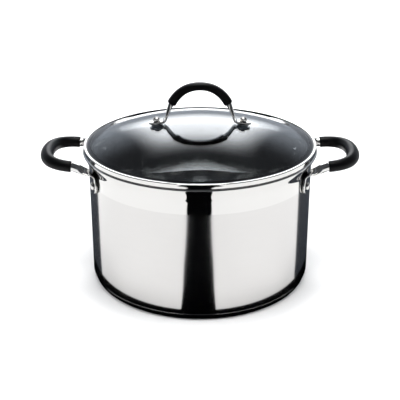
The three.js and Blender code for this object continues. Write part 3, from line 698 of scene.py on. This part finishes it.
def side_rings():
    """Sections of half a loop, from the tab's round end to the middle of the grip."""
    line = grip_line()
    out = np.array([math.cos(RIVET_TURN), -math.sin(RIVET_TURN), 0])
    sideways = np.array([-math.sin(RIVET_TURN), -math.cos(RIVET_TURN), 0])
    down = sideways * math.sin(TAB_SLANT) - UP * math.cos(TAB_SLANT)
    across = np.cross(out, down)
    rivet = out * (WALL_RADIUS + GAP + TAB_THICK / 2) + UP * rivet_height
    grip_start, grip_way = bezier(line, 0)
    corner = rivet - down * TAB_TOP
    outward = unit(grip_way + [0, 0, 0.25])
    bend = [corner + down * TAB_BEND, corner, corner + outward * TAB_BEND]
    easing = (grip_start[0] - bend[2][0]) / 3
    leg = [bend[2], bend[2] + outward * easing, grip_start - grip_way * easing, grip_start]
    plane = unit(np.cross(grip_way, ACROSS))
    rings = []
    for drop in TAB_ROUND + (-0.35, -0.7):
        rings.append(section(rivet + down * drop * TAB_END, -down, across,
                             *rounded_end(drop, TAB_WIDE, TAB_THICK), TAB_SQUARE))
    for share in np.linspace(0, 1, 9):
        centre, way = bezier(bend, share)
        side = mix(across, unit(np.cross(plane, outward)), share)
        rings.append(section(centre, way, side, TAB_WIDE / 2, TAB_THICK / 2, TAB_SQUARE))
    for share in np.linspace(0.12, 1, 12):
        centre, way = bezier(leg, share)
        swell = min(share / 0.55, 1)
        rings.append(section(centre, way, np.cross(plane, way),
                             mix(TAB_WIDE, TUBE, ease(swell)) / 2,
                             mix(TAB_THICK, TUBE, swell ** 1.3) / 2, mix(TAB_SQUARE, 2, swell)))
    for share in np.linspace(0.08, 1, 12):
        centre, way = bezier(line, share)
        rings.append(section(centre, way, np.cross(plane, way), TUBE / 2, TUBE / 2))
    return both_halves(rings, 1, closed=False)


def make_side_loops():
    points, faces = skin(side_rings(), closed=False)
    for side, place in (("right", points), ("left", half_turn(points))):
        finish_mesh(f"{side}_loop", place, faces, "pot", [mirror_steel], [f"{side}_handle_loop"],
                    crease=50)


make_side_loops()

# %% [markdown]
# The sleeve is moulded on its own and pushed over the tube before the tabs are pressed. Its ends are
# rounded lips that stand a little proud of the steel, and its outside swells towards the bend.

# %% Side handle sleeves
LIP_ROUND = 1.1


def sleeve_rings(line, plane, outside, bore, start=0.0, square=2.0, steps=26):
    """Sections of half a sleeve: back along the bore, round the end lip, then along the outside."""
    rings = []
    along = [bezier(line, share)[0] for share in np.linspace(start, 1, 40)]
    length = np.linalg.norm(np.diff(along, axis=0), axis=1).sum()
    for share in np.linspace(1, start + 0.001, steps // 2):
        centre, way = bezier(line, share)
        rings.append(section(centre, way, plane(way), bore[0], bore[1]))
    lip = LIP_ROUND / length * (1 - start)
    for turn_angle in np.radians((12, 30, 50, 70)):
        inset = LIP_ROUND * (1 - math.sin(turn_angle))
        share = start + lip * (1 - math.cos(turn_angle))
        centre, way = bezier(line, share)
        w, d = outside(share)
        rings.append(section(centre, way, plane(way), w - inset, d - inset, square))
    for share in np.linspace(start + lip, 1, steps):
        centre, way = bezier(line, share)
        w, d = outside(share)
        rings.append(section(centre, way, plane(way), w, d, square))
    return rings


def make_side_sleeves():
    line = grip_line()
    normal = unit(np.cross(bezier(line, 0)[1], ACROSS))
    rings = sleeve_rings(line, lambda way: np.cross(normal, way),
                         lambda share: [mix(GRIP_END, GRIP_BEND, ease(share))] * 2,
                         [TUBE / 2 + GAP] * 2)
    points, faces = skin(both_halves(rings, 1, closed=True), closed=True)
    for side, place in (("right", points), ("left", half_turn(points))):
        finish_mesh(f"{side}_sleeve", place, faces, "pot", [grip_silicone], [f"{side}_handle_grip"],
                    crease=60)


make_side_sleeves()

# %% [markdown]
# A rivet has a domed head outside, which is what the maker shows, and a flat head inside, which is
# easy to wipe. It is turned about its own axis and then laid on the wall.

# %% Rivets
RIVET_SHANK = 2.5      # radius
RIVET_HEAD = 4.2       # radius of the dome
RIVET_DOME = 2.1       # height of the dome above its short straight side
RIVET_FLAT = 5.5       # radius of the flat head
RIVET_FLAT_HIGH = 1.2


def laid(points, axis, seat):
    """Points built along +Z, turned onto an axis and moved to their seat."""
    turned = Vector((0, 0, 1)).rotation_difference(Vector(axis)).to_matrix()
    return points @ np.array(turned).T + np.array(seat)


def rivet_outline():
    """Outline along the rivet's axis, with the outside of the wall at height 0."""
    seat = TAB_THICK + 2 * GAP
    back = -WALL - 2 * GAP
    dome = [(RIVET_HEAD * math.cos(a), seat + 0.5 + RIVET_DOME * math.sin(a))
            for a in np.radians(np.linspace(0, 90, 10))]
    inner = [(0, back - RIVET_FLAT_HIGH), (RIVET_FLAT - 1.1, back - RIVET_FLAT_HIGH),
             (RIVET_FLAT - 0.4, back - 1.0), (RIVET_FLAT, back - 0.5), (RIVET_FLAT, back)]
    shank = [(RIVET_SHANK, back), (RIVET_SHANK, seat), (RIVET_HEAD, seat)]
    return inner + shank + dome[:-1] + [(0, dome[-1][1])]


def make_rivets():
    points, faces, _ = turn(rivet_outline(), 48, closed=False)
    for side, facing in (("right", 1), ("left", -1)):
        for row in (-1, 1):
            where = "front" if row < 0 else "back"
            out = (facing * math.cos(RIVET_TURN), row * math.sin(RIVET_TURN), 0)
            seat = np.array(out) * WALL_RADIUS + UP * rivet_height
            finish_mesh(f"{side}_{where}_rivet_turned", laid(points, out, seat), faces, "pot",
                        [mirror_steel], [f"{side}_{where}_rivet"], crease=40)


make_rivets()

# %% [markdown]
# ## The lid
# A dome of pressed glass sits in a channel of rolled steel, bedded on a dark seal. The dome is part of
# a sphere, and outside it the glass eases down into the channel. Past a certain radius the seal is all
# that shows through, so that ring of faces has the black finish.

# %% Lid glass
DOME_FOOT = 118.0      # radius where the sphere would meet the flange
SLOPE_FROM = 106.0     # the glass leaves the sphere here
SEAL_SHOWS = 116.0     # and is black from here outwards
GLASS = 3.0            # thickness
flange_top = glass_low + GLASS
dome_rise = glass_top - flange_top
DOME = (DOME_FOOT ** 2 + dome_rise ** 2) / (2 * dome_rise)
dome_centre = glass_top - DOME
SCREW_OUT = 45.7       # from the middle of the lid to a screw
screw_tilt = math.asin(SCREW_OUT / DOME)


def dome_height(radius, depth=0.0):
    """Height of the sphere at a radius, or of the glass's underside at its depth."""
    return dome_centre + math.sqrt((DOME - depth) ** 2 - radius ** 2)


def glass_outline():
    """The outline in three parts: clear top, the ring that lies on the seal, clear underside."""
    top = [(r, dome_height(r)) for r in np.linspace(0, SLOPE_FROM, 28)]
    edge_in = glass_radius - 1.8
    bend = [(SLOPE_FROM, dome_height(SLOPE_FROM)), (DOME_FOOT - 2.5, flange_top + 1.1),
            (edge_in, flange_top)]
    slope = [tuple(a * (1 - t) ** 2 + 2 * b * t * (1 - t) + c * t * t for a, b, c in zip(*bend))
             for t in np.linspace(0, 1, 13)]
    clear = [p for p in slope if p[0] < SEAL_SHOWS]
    bedded = [p for p in slope if p[0] >= SEAL_SHOWS]
    edge = arc((glass_radius - 1, flange_top - 1), 1, 90, 0, 5)
    edge += arc((glass_radius - 1, glass_low + 1), 1, 0, -90, 5)
    under_foot = DOME_FOOT - 0.4 * GLASS
    under = [(r, dome_height(r, GLASS)) for r in np.linspace(under_foot - 2, 0, 30)]
    foot = bedded + edge + [(under_foot + 0.8, glass_low)] + under[:1]
    return top[:-1] + clear, foot, under[1:]


def make_glass():
    top, foot, under = glass_outline()
    points, faces, owner = turn(top + foot + under, ROUND, closed=False)
    zones = [1 if len(top) <= k < len(top) + len(foot) - 1 else 0 for k in owner]
    finish_mesh("glass_dome", points, faces, "lid", [lid_glass_finish, bedded_glass],
                ["lid_glass"], zones, crease=50)


make_glass()
print("dome: sphere of", round(DOME), "mm,", round(dome_rise, 1), "mm high")

# %% [markdown]
# The band is a strip of steel rolled into a channel that grips the glass, with a seal inside it. Its
# bead hangs inside the pot's lip and keeps the lid from sliding off. The part that laps over the glass
# is narrow, because a wide one would mirror the lamps as a broad white ring.

# %% Lid band and seal
BAND_LAP = 2.6         # how far the band laps over the glass
BAND_HIGH = 4.8        # from the band's top down to its outer edge
BAND_SHEET = 0.5
BEAD_WIDE = 1.8
SEAL_WIDE = 9.8
SEAL_STEP = 1.6        # the seal's outer wall stops this far below its top
seal_inner = seal_high[0] - SEAL_WIDE


def make_band():
    inner = band_radius - BAND_LAP
    wall = band_radius - BAND_SHEET
    low = band_top - BAND_HIGH
    bead_out = lip_centre[0] - LIP_BEAD - GAP
    bead_in = bead_out - BEAD_WIDE
    outline = [(inner, band_top - 0.42), (inner, band_top - 0.3), (inner + 0.1, band_top - 0.08)]
    outline += [(inner + 0.35, band_top)] + arc((band_radius - 0.9, band_top - 0.9), 0.9, 90, 0, 8)
    outline += arc((band_radius - 0.4, low + 0.4), 0.4, 0, -90, 6)
    outline += [(bead_out + 0.2, low), (bead_out, low - 0.2), (bead_out - 0.3, bead_low + 0.5)]
    outline += arc(((bead_in + bead_out) / 2, bead_low + 0.6), 0.6, 0, -180, 8)
    outline += [(bead_in, low), (seal_inner + GAP, low), (seal_inner + GAP, low + BAND_SHEET)]
    outline += [(wall - 0.4, low + BAND_SHEET), (wall, low + 0.9), (wall, band_top - 0.42)]
    points, faces, _ = turn(outline, ROUND, closed=True)
    finish_mesh("lid_rim_band", points, faces, "lid", [mirror_steel], ["lid_band"])


def make_seal():
    outer = seal_high[0]
    low, high = seal_low[2], seal_high[2]
    outline = [(seal_inner, low), (outer, low), (outer, high - SEAL_STEP),
               (outer - 1, high - SEAL_STEP), (outer - 1, low + 0.5), (seal_inner + 0.3, low + 0.5),
               (seal_inner, low + 0.3)]
    points, faces, _ = turn(outline, ROUND, closed=True)
    finish_mesh("lid_bedding_seal", points, faces, "lid", [seal_silicone], ["lid_seal"])


make_band()
make_seal()

# %% [markdown]
# ## The lid's handle
# The arch is made like the side handles, from tube pressed flat at both ends, and its tabs follow the
# slope of the glass. Its sleeve is wider than it is deep, like the tube inside it, and so it is made
# with the same sleeve tool as the side handles' but with a flatter section.

# %% Arch
ARCH_WIDE = 7.6
ARCH_DEEP = 6.4
SLEEVE_WIDE = 11.6
SLEEVE_DEEP = 8.4
SLEEVE_END_DEEP = 9.8
SLEEVE_START = 0.3     # share of the way up the arch where the sleeve starts
SLEEVE_SQUARE = 2.6
ARCH_SPAN = 35.8       # from the middle of the lid to the arch's foot
LID_TAB_WIDE = 13.0
LID_TAB_THICK = 2.4
LID_TAB_END = 8.4
LID_TAB_BEND = 4.0
BUSH_HEIGHT = 1.2
tab_seat = GAP + BUSH_HEIGHT + GAP
head_seat = tab_seat + LID_TAB_THICK + GAP
arch_top = box_mm("lid_handle_grip")[1][2] - SLEEVE_DEEP / 2


def screw_axis(side):
    """Direction of a screw, square to the glass."""
    return np.array([side * math.sin(screw_tilt), 0, math.cos(screw_tilt)])


def tab_point(beyond):
    """A point along the middle of the right tab, at a distance beyond its screw."""
    out = np.array([math.cos(screw_tilt), 0, -math.sin(screw_tilt)])
    stand = DOME + tab_seat + LID_TAB_THICK / 2
    return np.array([0, 0, dome_centre]) + screw_axis(1) * stand + out * beyond


def arch_line():
    """Control points of the arch's centre line, from the bend above its tab to its top."""
    corner = tab_point(ARCH_SPAN - SCREW_OUT)
    top = np.array([0, 0, arch_top])
    rise = arch_top - corner[2]
    return [corner + [-0.3, 0, LID_TAB_BEND], corner + [-0.144 * ARCH_SPAN, 0, 0.578 * rise],
            top + [0.6 * ARCH_SPAN, 0, 0], top]


def arch_rings():
    """Sections of half the arch, from the tab's round end to the top."""
    line = arch_line()
    out = unit(tab_point(1) - tab_point(0))
    corner = tab_point(ARCH_SPAN - SCREW_OUT)
    bend = [corner + out * LID_TAB_BEND, corner, line[0]]
    rings = []
    for reach in TAB_ROUND:
        rings.append(section(tab_point(reach * LID_TAB_END), -out, ACROSS,
                             *rounded_end(reach, LID_TAB_WIDE, LID_TAB_THICK), TAB_SQUARE))
    for share in np.linspace(0, 0.92, 8):
        centre, way = bezier(bend, share)
        rings.append(section(centre, way, ACROSS, LID_TAB_WIDE / 2, LID_TAB_THICK / 2,
                             TAB_SQUARE))
    for share in np.linspace(0, 1, 34):
        centre, way = bezier(line, share)
        swell = min(share / SLEEVE_START, 1)
        rings.append(section(centre, way, ACROSS,
                             mix(LID_TAB_WIDE, ARCH_WIDE, ease(swell)) / 2,
                             mix(LID_TAB_THICK, ARCH_DEEP, swell) / 2, mix(TAB_SQUARE, 2, swell)))
    return both_halves(rings, 0, closed=False)


def make_arch():
    points, faces = skin(arch_rings(), closed=False)
    finish_mesh("lid_arch", points, faces, "lid", [mirror_steel], ["lid_handle_arch"],
                crease=50)


def make_arch_sleeve():
    def outside(share):
        run = (share - SLEEVE_START) / (1 - SLEEVE_START)
        return SLEEVE_WIDE / 2, mix(SLEEVE_END_DEEP, SLEEVE_DEEP, ease(run)) / 2

    rings = sleeve_rings(arch_line(), lambda way: ACROSS, outside,
                         (ARCH_WIDE / 2 + GAP, ARCH_DEEP / 2 + GAP), SLEEVE_START,
                         SLEEVE_SQUARE)
    points, faces = skin(both_halves(rings, 0, closed=True), closed=True)
    finish_mesh("lid_sleeve", points, faces, "lid", [grip_silicone], ["lid_handle_grip"],
                crease=60)


make_arch()
make_arch_sleeve()

# %% [markdown]
# Each end of the arch is held by a domed screw through the glass. Steel must never press on tempered
# glass, so a silicone bush keeps the tab off it above, with a collar in the hole, and a silicone pad
# and a washer spread the load below, where a cap nut closes the screw. All five are turned about the
# screw's own axis and then tipped to stand square to the glass.

# %% Fastenings
BORE = 2.3             # radius of the hole through everything but the glass
SCREW_SHANK = 2.0      # radii of the screw
SCREW_HEAD = 3.8
SCREW_HEAD_HIGH = 4.1
SCREW_DOME = 2.2
COLLAR = 3.4           # radii of the bush
BUSH = 6.25
PAD = 7.0
PAD_THICK = 1.5
WASHER = 6.0
WASHER_THICK = 1.0
NUT = 4.25
NUT_HIGH = 6.0
NUT_DOME = 2.6
THREAD = 4.4           # how far the screw goes into the nut


def disc(radius, low, high, edge):
    """Outline of a ring round the screw, with its outer edges taken off."""
    return [(BORE, low), (radius - edge, low), (radius, low + edge), (radius, high - edge),
            (radius - edge, high), (BORE, high)]


def fastening_outlines():
    """Outlines along the screw's axis, with the outer face of the glass at height 0."""
    pad_top = -GLASS - GAP
    pad_low = pad_top - PAD_THICK
    plate_top = pad_low - GAP
    plate_low = plate_top - WASHER_THICK
    nut_top = plate_low - GAP
    nut_low = nut_top - NUT_HIGH
    tip = nut_top - THREAD
    top = head_seat + SCREW_HEAD_HIGH
    dome = [(SCREW_HEAD * math.cos(a), top - SCREW_DOME + SCREW_DOME * math.sin(a))
            for a in np.radians(np.linspace(0, 90, 9))]
    shank = [(0, tip), (SCREW_SHANK, tip), (SCREW_SHANK, head_seat)]
    screw = shank + [(SCREW_HEAD - 0.4, head_seat), (SCREW_HEAD, head_seat + 0.4)]
    screw += dome[:-1] + [(0, top)]
    bush = [(BORE, -GLASS), (COLLAR, -GLASS), (COLLAR, GAP), (BUSH - 0.25, GAP), (BUSH, GAP + 0.3),
            (BUSH, tab_seat - GAP - 0.3), (BUSH - 0.25, tab_seat - GAP), (BORE, tab_seat - GAP)]
    cup = [(NUT * math.sin(a), nut_low + NUT_DOME - NUT_DOME * math.cos(a))
           for a in np.radians(np.linspace(0, 90, 9))]
    nut = cup + [(NUT, nut_top), (BORE, nut_top), (BORE, tip - GAP), (0, tip - GAP)]
    return {"screw": (screw, False), "bush": (bush, True),
            "pad": (disc(PAD, pad_low, pad_top, 0.4), True),
            "washer": (disc(WASHER, plate_low, plate_top, 0.2), True), "cap_nut": (nut, False)}


FASTENING_FINISH = {"screw": (fastener_steel, "fastener_steel"),
                    "bush": (bush_silicone, "dark_seal"),
                    "pad": (bush_silicone, "dark_seal"),
                    "washer": (fastener_steel, "fastener_steel"),
                    "cap_nut": (fastener_steel, "fastener_steel")}


def make_fastenings():
    for kind, (outline, closed) in fastening_outlines().items():
        points, faces, _ = turn(outline, 48, closed)
        finish, slot = FASTENING_FINISH[kind]
        for side, name in ((1, "right"), (-1, "left")):
            axis = screw_axis(side)
            seat = np.array([0, 0, dome_centre]) + axis * DOME
            finish_mesh(f"{name}_{kind}_turned", laid(points, axis, seat), faces, "lid",
                        [finish], [f"lid_{name}_{kind}"], crease=40)


make_fastenings()

# %% [markdown]
# ## The studio
# Polished steel shows its surroundings, so the studio is what gives it its look. It has a plain pale
# floor, which the wall mirrors, soft lamps that light the floor evenly, dark cards that draw the wall's
# dark edges, and a lit backdrop that shines in the glass.
#
# The floor is matt painted board. It is wide enough to fill the main view, and its edge only shows in
# low views from the sides or from behind. Its one detail is the faint texture of a paint roller.

# %% Floor
FLOOR_HALF = 6000      # millimetres
ROLLER_TEXTURE = 400.0  # per metre, so 2.5 mm


def sweep_material():
    """Matt painted board, pale and even, with a barely visible roller texture."""
    material, tree = new_material("pale_painted_board")
    place = add(tree, "ShaderNodeTexCoord").outputs["Object"]
    roller = add(tree, "ShaderNodeTexNoise", {"Vector": place, "Scale": ROLLER_TEXTURE,
                 "Detail": 3.0})
    tone = add(tree, "ShaderNodeMixRGB", {"Fac": roller.outputs["Fac"], "Color1": linear("#F4F4F4"),
               "Color2": linear("#F8F8F8")})
    shader = add(tree, "ShaderNodeBsdfPrincipled", {"Base Color": tone.outputs[0], "Roughness": 0.9,
                 "Specular IOR Level": 0.1})
    put_on_surface(tree, shader.outputs[0])
    return material


def stage_sheet(name, outline, height, material):
    """A flat sheet of the studio, from its outline in millimetres."""
    mesh = bpy.data.meshes.new(name)
    mesh.from_pydata([(x * MM, y * MM, height * MM) for x, y in outline], [],
                     [list(range(len(outline)))])
    mesh.materials.append(material)
    sheet = bpy.data.objects.new(name, mesh)
    scene.collection.objects.link(sheet)
    return sheet


stage_sheet("floor", [(-FLOOR_HALF, -FLOOR_HALF), (FLOOR_HALF, -FLOOR_HALF),
                      (FLOOR_HALF, FLOOR_HALF), (-FLOOR_HALF, FLOOR_HALF)], 0.0, sweep_material())
print("floor:", 2 * FLOOR_HALF * MM, "m across")

# %% [markdown]
# ## Flags
# In a studio, dark cards called flags are laid just outside the view, and a polished wall turns them
# into crisp dark edges. Painting those edges on the steel would be quicker, but they would stick to the
# pot when it is seen from another side. A flag here lies flat on the floor and shows only in
# reflections. Flock card gives back very little light, and the grey one has a trace of blue. They are
# cut for the main view, so from behind they show as dark patches with other outlines.
#
# Where to cut a flag follows from the mirror law. The line of sight to a point on the wall is turned
# about the wall's direction there, and followed down to the floor.

# %% Flag tools
FLAG_HEIGHT = 0.5      # flags lie this far above the floor


def flag_material(name, colour):
    """Flock card, which gives back little light."""
    material, tree = new_material(name)
    shader = add(tree, "ShaderNodeBsdfDiffuse", {"Color": linear(colour), "Roughness": 1.0})
    put_on_surface(tree, shader.outputs[0])
    return material


black_card = flag_material("black_flock_card", "#040405")
grey_card = flag_material("blue_grey_flock_card", "#3C3F45")


def add_flag(name, outline, height=FLAG_HEIGHT, card=black_card):
    """A flag from its outline, seen by nothing but reflections."""
    flag = stage_sheet(name, outline, height, card)
    for kind in ("camera", "diffuse", "transmission", "shadow", "volume_scatter"):
        setattr(flag, f"visible_{kind}", False)
    print(f"{name}: {len(outline)} corners")


def shown_in_wall(across, height, radius=WALL_RADIUS):
    """The floor point that the wall shows at one of its own points: the line of sight, mirrored."""
    turned = math.asin(across / radius)
    wall = np.array([across, -radius * math.cos(turned), height])
    normal = np.array([math.sin(turned), -math.cos(turned), 0])
    sight = wall - [0, -CAMERA_BACK, CAMERA_HEIGHT]
    sight = sight - 2 * sight.dot(normal) * normal
    return tuple((wall - sight * height / sight[2])[:2])


def flag_edge(heights, widths):
    """A flag's edge, from the heights on the wall and how far across it shows at each."""
    return [shown_in_wall(across, height) for height, across in zip(heights, widths)]


def ring(radius, angles):
    return [(radius * math.cos(a), radius * math.sin(a)) for a in angles]


# %% [markdown]
# Five flags are enough. The black one in front makes the column down the middle of the wall, which is
# widest at the base and wavy above the polish line. A grey one on each side makes the strips where the
# wall turns away. A black one round the pot's foot makes the dark band at the base, and a grey arc far
# behind makes the thin dark line round the back of the lid's band.

# %% Flags
FRONT_HEIGHTS = (1, 13, 64, 115, 121, 129, 138, 146)
FRONT_LEFT = (-20.0, -19.3, -15.9, -12.6, -13.0, -10.9, -13.0, -13.4)
FRONT_RIGHT = (16.8, 16.2, 13.4, 10.7, 11.6, 10.5, 13.3, 13.6)
front_left = flag_edge(FRONT_HEIGHTS, FRONT_LEFT)
front_right = flag_edge(FRONT_HEIGHTS, FRONT_RIGHT)
front_bar = [(-160, front_left[-1][1] - 4), (-230, -1500), (230, -1500),
             (160, front_right[-1][1] - 4)]
add_flag("front_flag", front_left + front_bar + front_right[::-1])

SIDE_HEIGHTS = (1, 10, 35, 70, 110, 165)
SIDE_INNER = {"left": -105.5, "right": 101.0}
NEARLY_EDGE_ON = WALL_RADIUS * 0.9995
for side, inner in SIDE_INNER.items():
    near = flag_edge(SIDE_HEIGHTS, [inner] * len(SIDE_HEIGHTS))
    far = flag_edge(SIDE_HEIGHTS, [math.copysign(NEARLY_EDGE_ON, inner)] * len(SIDE_HEIGHTS))
    add_flag(f"{side}_flag", near + far[::-1], card=grey_card)

FOOT_FLAG = 138.0
add_flag("foot_flag", ring(FOOT_FLAG, np.linspace(0, 2 * np.pi, 96, endpoint=False)), 0.6)

BACK_NEAR, BACK_FAR = 430.0, 1000.0
back_arc = np.radians(np.linspace(28, 152, 40))
add_flag("back_flag", ring(BACK_NEAR, back_arc) + ring(BACK_FAR, back_arc[::-1]), 0.4, grey_card)

# %% [markdown]
# ## Lamps
# A softbox is a lamp behind a sheet of cloth, which Blender calls an area light. One on each side
# lights the floor and the pot, one in front fills the shade at its foot, and one far behind, with a
# narrow beam, lights only the floor there. These four are hidden from the steel's reflections, where
# they would show as hard white shapes. The small one overhead does show, as highlights on its edges.

# %% Softboxes
def add_softbox(name, place, aim, size, power, shows=False, spread=180):
    """A lamp from its place, aim and size in metres, its power in watts and its beam in degrees."""
    data = bpy.data.lights.new(name, "AREA")
    data.shape = "RECTANGLE"
    data.size, data.size_y = size
    data.energy = power
    data.spread = math.radians(spread)
    lamp = bpy.data.objects.new(name, data)
    lamp.location = place
    lamp.rotation_euler = (Vector(aim) - Vector(place)).to_track_quat("-Z", "Y").to_euler()
    lamp.visible_glossy = shows
    scene.collection.objects.link(lamp)
    print(f"{name}: {power} W")


add_softbox("left_softbox", (-2.0, -0.5, 1.6), (0, 0, 0), (1.8, 1.8), 30)
add_softbox("right_softbox", (2.0, -0.5, 1.6), (0, 0, 0), (1.8, 1.8), 30)
add_softbox("top_softbox", (0, 0.15, 1.9), (0, 0, 0), (0.7, 0.7), 20, shows=True)
add_softbox("fill_softbox", (0, -0.85, 2.0), (0, -0.15, 0), (1.6, 1.2), 24)
add_softbox("far_softbox", (0, 1.9, 2.2), (0, 1.5, 0), (2.4, 1.2), 34, spread=56)

# %% [markdown]
# ## The room
# The dome of the lid mirrors the room behind the pot, from eye level nearly to the ceiling, so the room
# has to be right there: pale behind, dark overhead and in front. A lit panel behind the pot makes the
# bright patch in the middle of the glass, and its soft edges let the patch fade out at the sides.
# These are amounts of light and not paint colours, so they are given as linear values.

# %% Room
WALL_BEHIND = (0.5, 0.54, 0.6, 1)
WALL_IN_FRONT = (0.06, 0.063, 0.067, 1)
CEILING = (0.09, 0.095, 0.105, 1)
LIT_PANEL = (3.6, 3.68, 3.78, 1)


def studio_air():
    """The room by direction: X is across, Y is behind, Z is up, and each fade is a smooth step."""
    world = bpy.data.worlds.new("studio_air")
    world.use_nodes = True
    tree = world.node_tree
    tree.nodes.clear()
    way = add(tree, "ShaderNodeTexCoord").outputs["Generated"]
    parts = add(tree, "ShaderNodeSeparateXYZ", {"Vector": way}).outputs
    ceiling = add(tree, "ShaderNodeMapRange", {"Value": parts["Z"], "From Min": 0.3,
                  "From Max": 0.62}, interpolation_type="SMOOTHSTEP")
    front = add(tree, "ShaderNodeMapRange", {"Value": parts["Y"], "From Min": 0.5,
                "From Max": 0.0}, interpolation_type="SMOOTHSTEP")
    walls = add(tree, "ShaderNodeMixRGB", {"Fac": front.outputs[0], "Color1": WALL_BEHIND,
                "Color2": WALL_IN_FRONT})
    shade = add(tree, "ShaderNodeMixRGB", {"Fac": ceiling.outputs[0], "Color1": walls.outputs[0],
                "Color2": CEILING})
    aside = add(tree, "ShaderNodeMath", {0: parts["X"]}, operation="ABSOLUTE")
    wide = add(tree, "ShaderNodeMapRange", {"Value": aside.outputs[0], "From Min": 0.26,
               "From Max": 0.12}, interpolation_type="SMOOTHSTEP")
    over = add(tree, "ShaderNodeMapRange", {"Value": parts["Z"], "From Min": 0.74,
               "From Max": 0.46}, interpolation_type="SMOOTHSTEP")
    under = add(tree, "ShaderNodeMapRange", {"Value": parts["Z"], "From Min": 0.05,
                "From Max": 0.28}, interpolation_type="SMOOTHSTEP")
    behind = add(tree, "ShaderNodeMapRange", {"Value": parts["Y"], "From Min": 0.1,
                 "From Max": 0.4}, interpolation_type="SMOOTHSTEP")
    panel = over.outputs[0]
    for edge in (wide, under, behind):
        both = add(tree, "ShaderNodeMath", {0: panel, 1: edge.outputs[0]}, operation="MULTIPLY")
        panel = both.outputs[0]
    lit = add(tree, "ShaderNodeMixRGB", {"Fac": panel, "Color1": shade.outputs[0],
              "Color2": LIT_PANEL})
    sky = add(tree, "ShaderNodeBackground", {"Color": lit.outputs[0], "Strength": 1.0})
    add(tree, "ShaderNodeOutputWorld", {"Surface": sky.outputs[0]})
    scene.world = world


studio_air()
scene.view_settings.view_transform = "Standard"
scene.view_settings.look = "None"
print("room: lit panel of strength", LIT_PANEL[0])
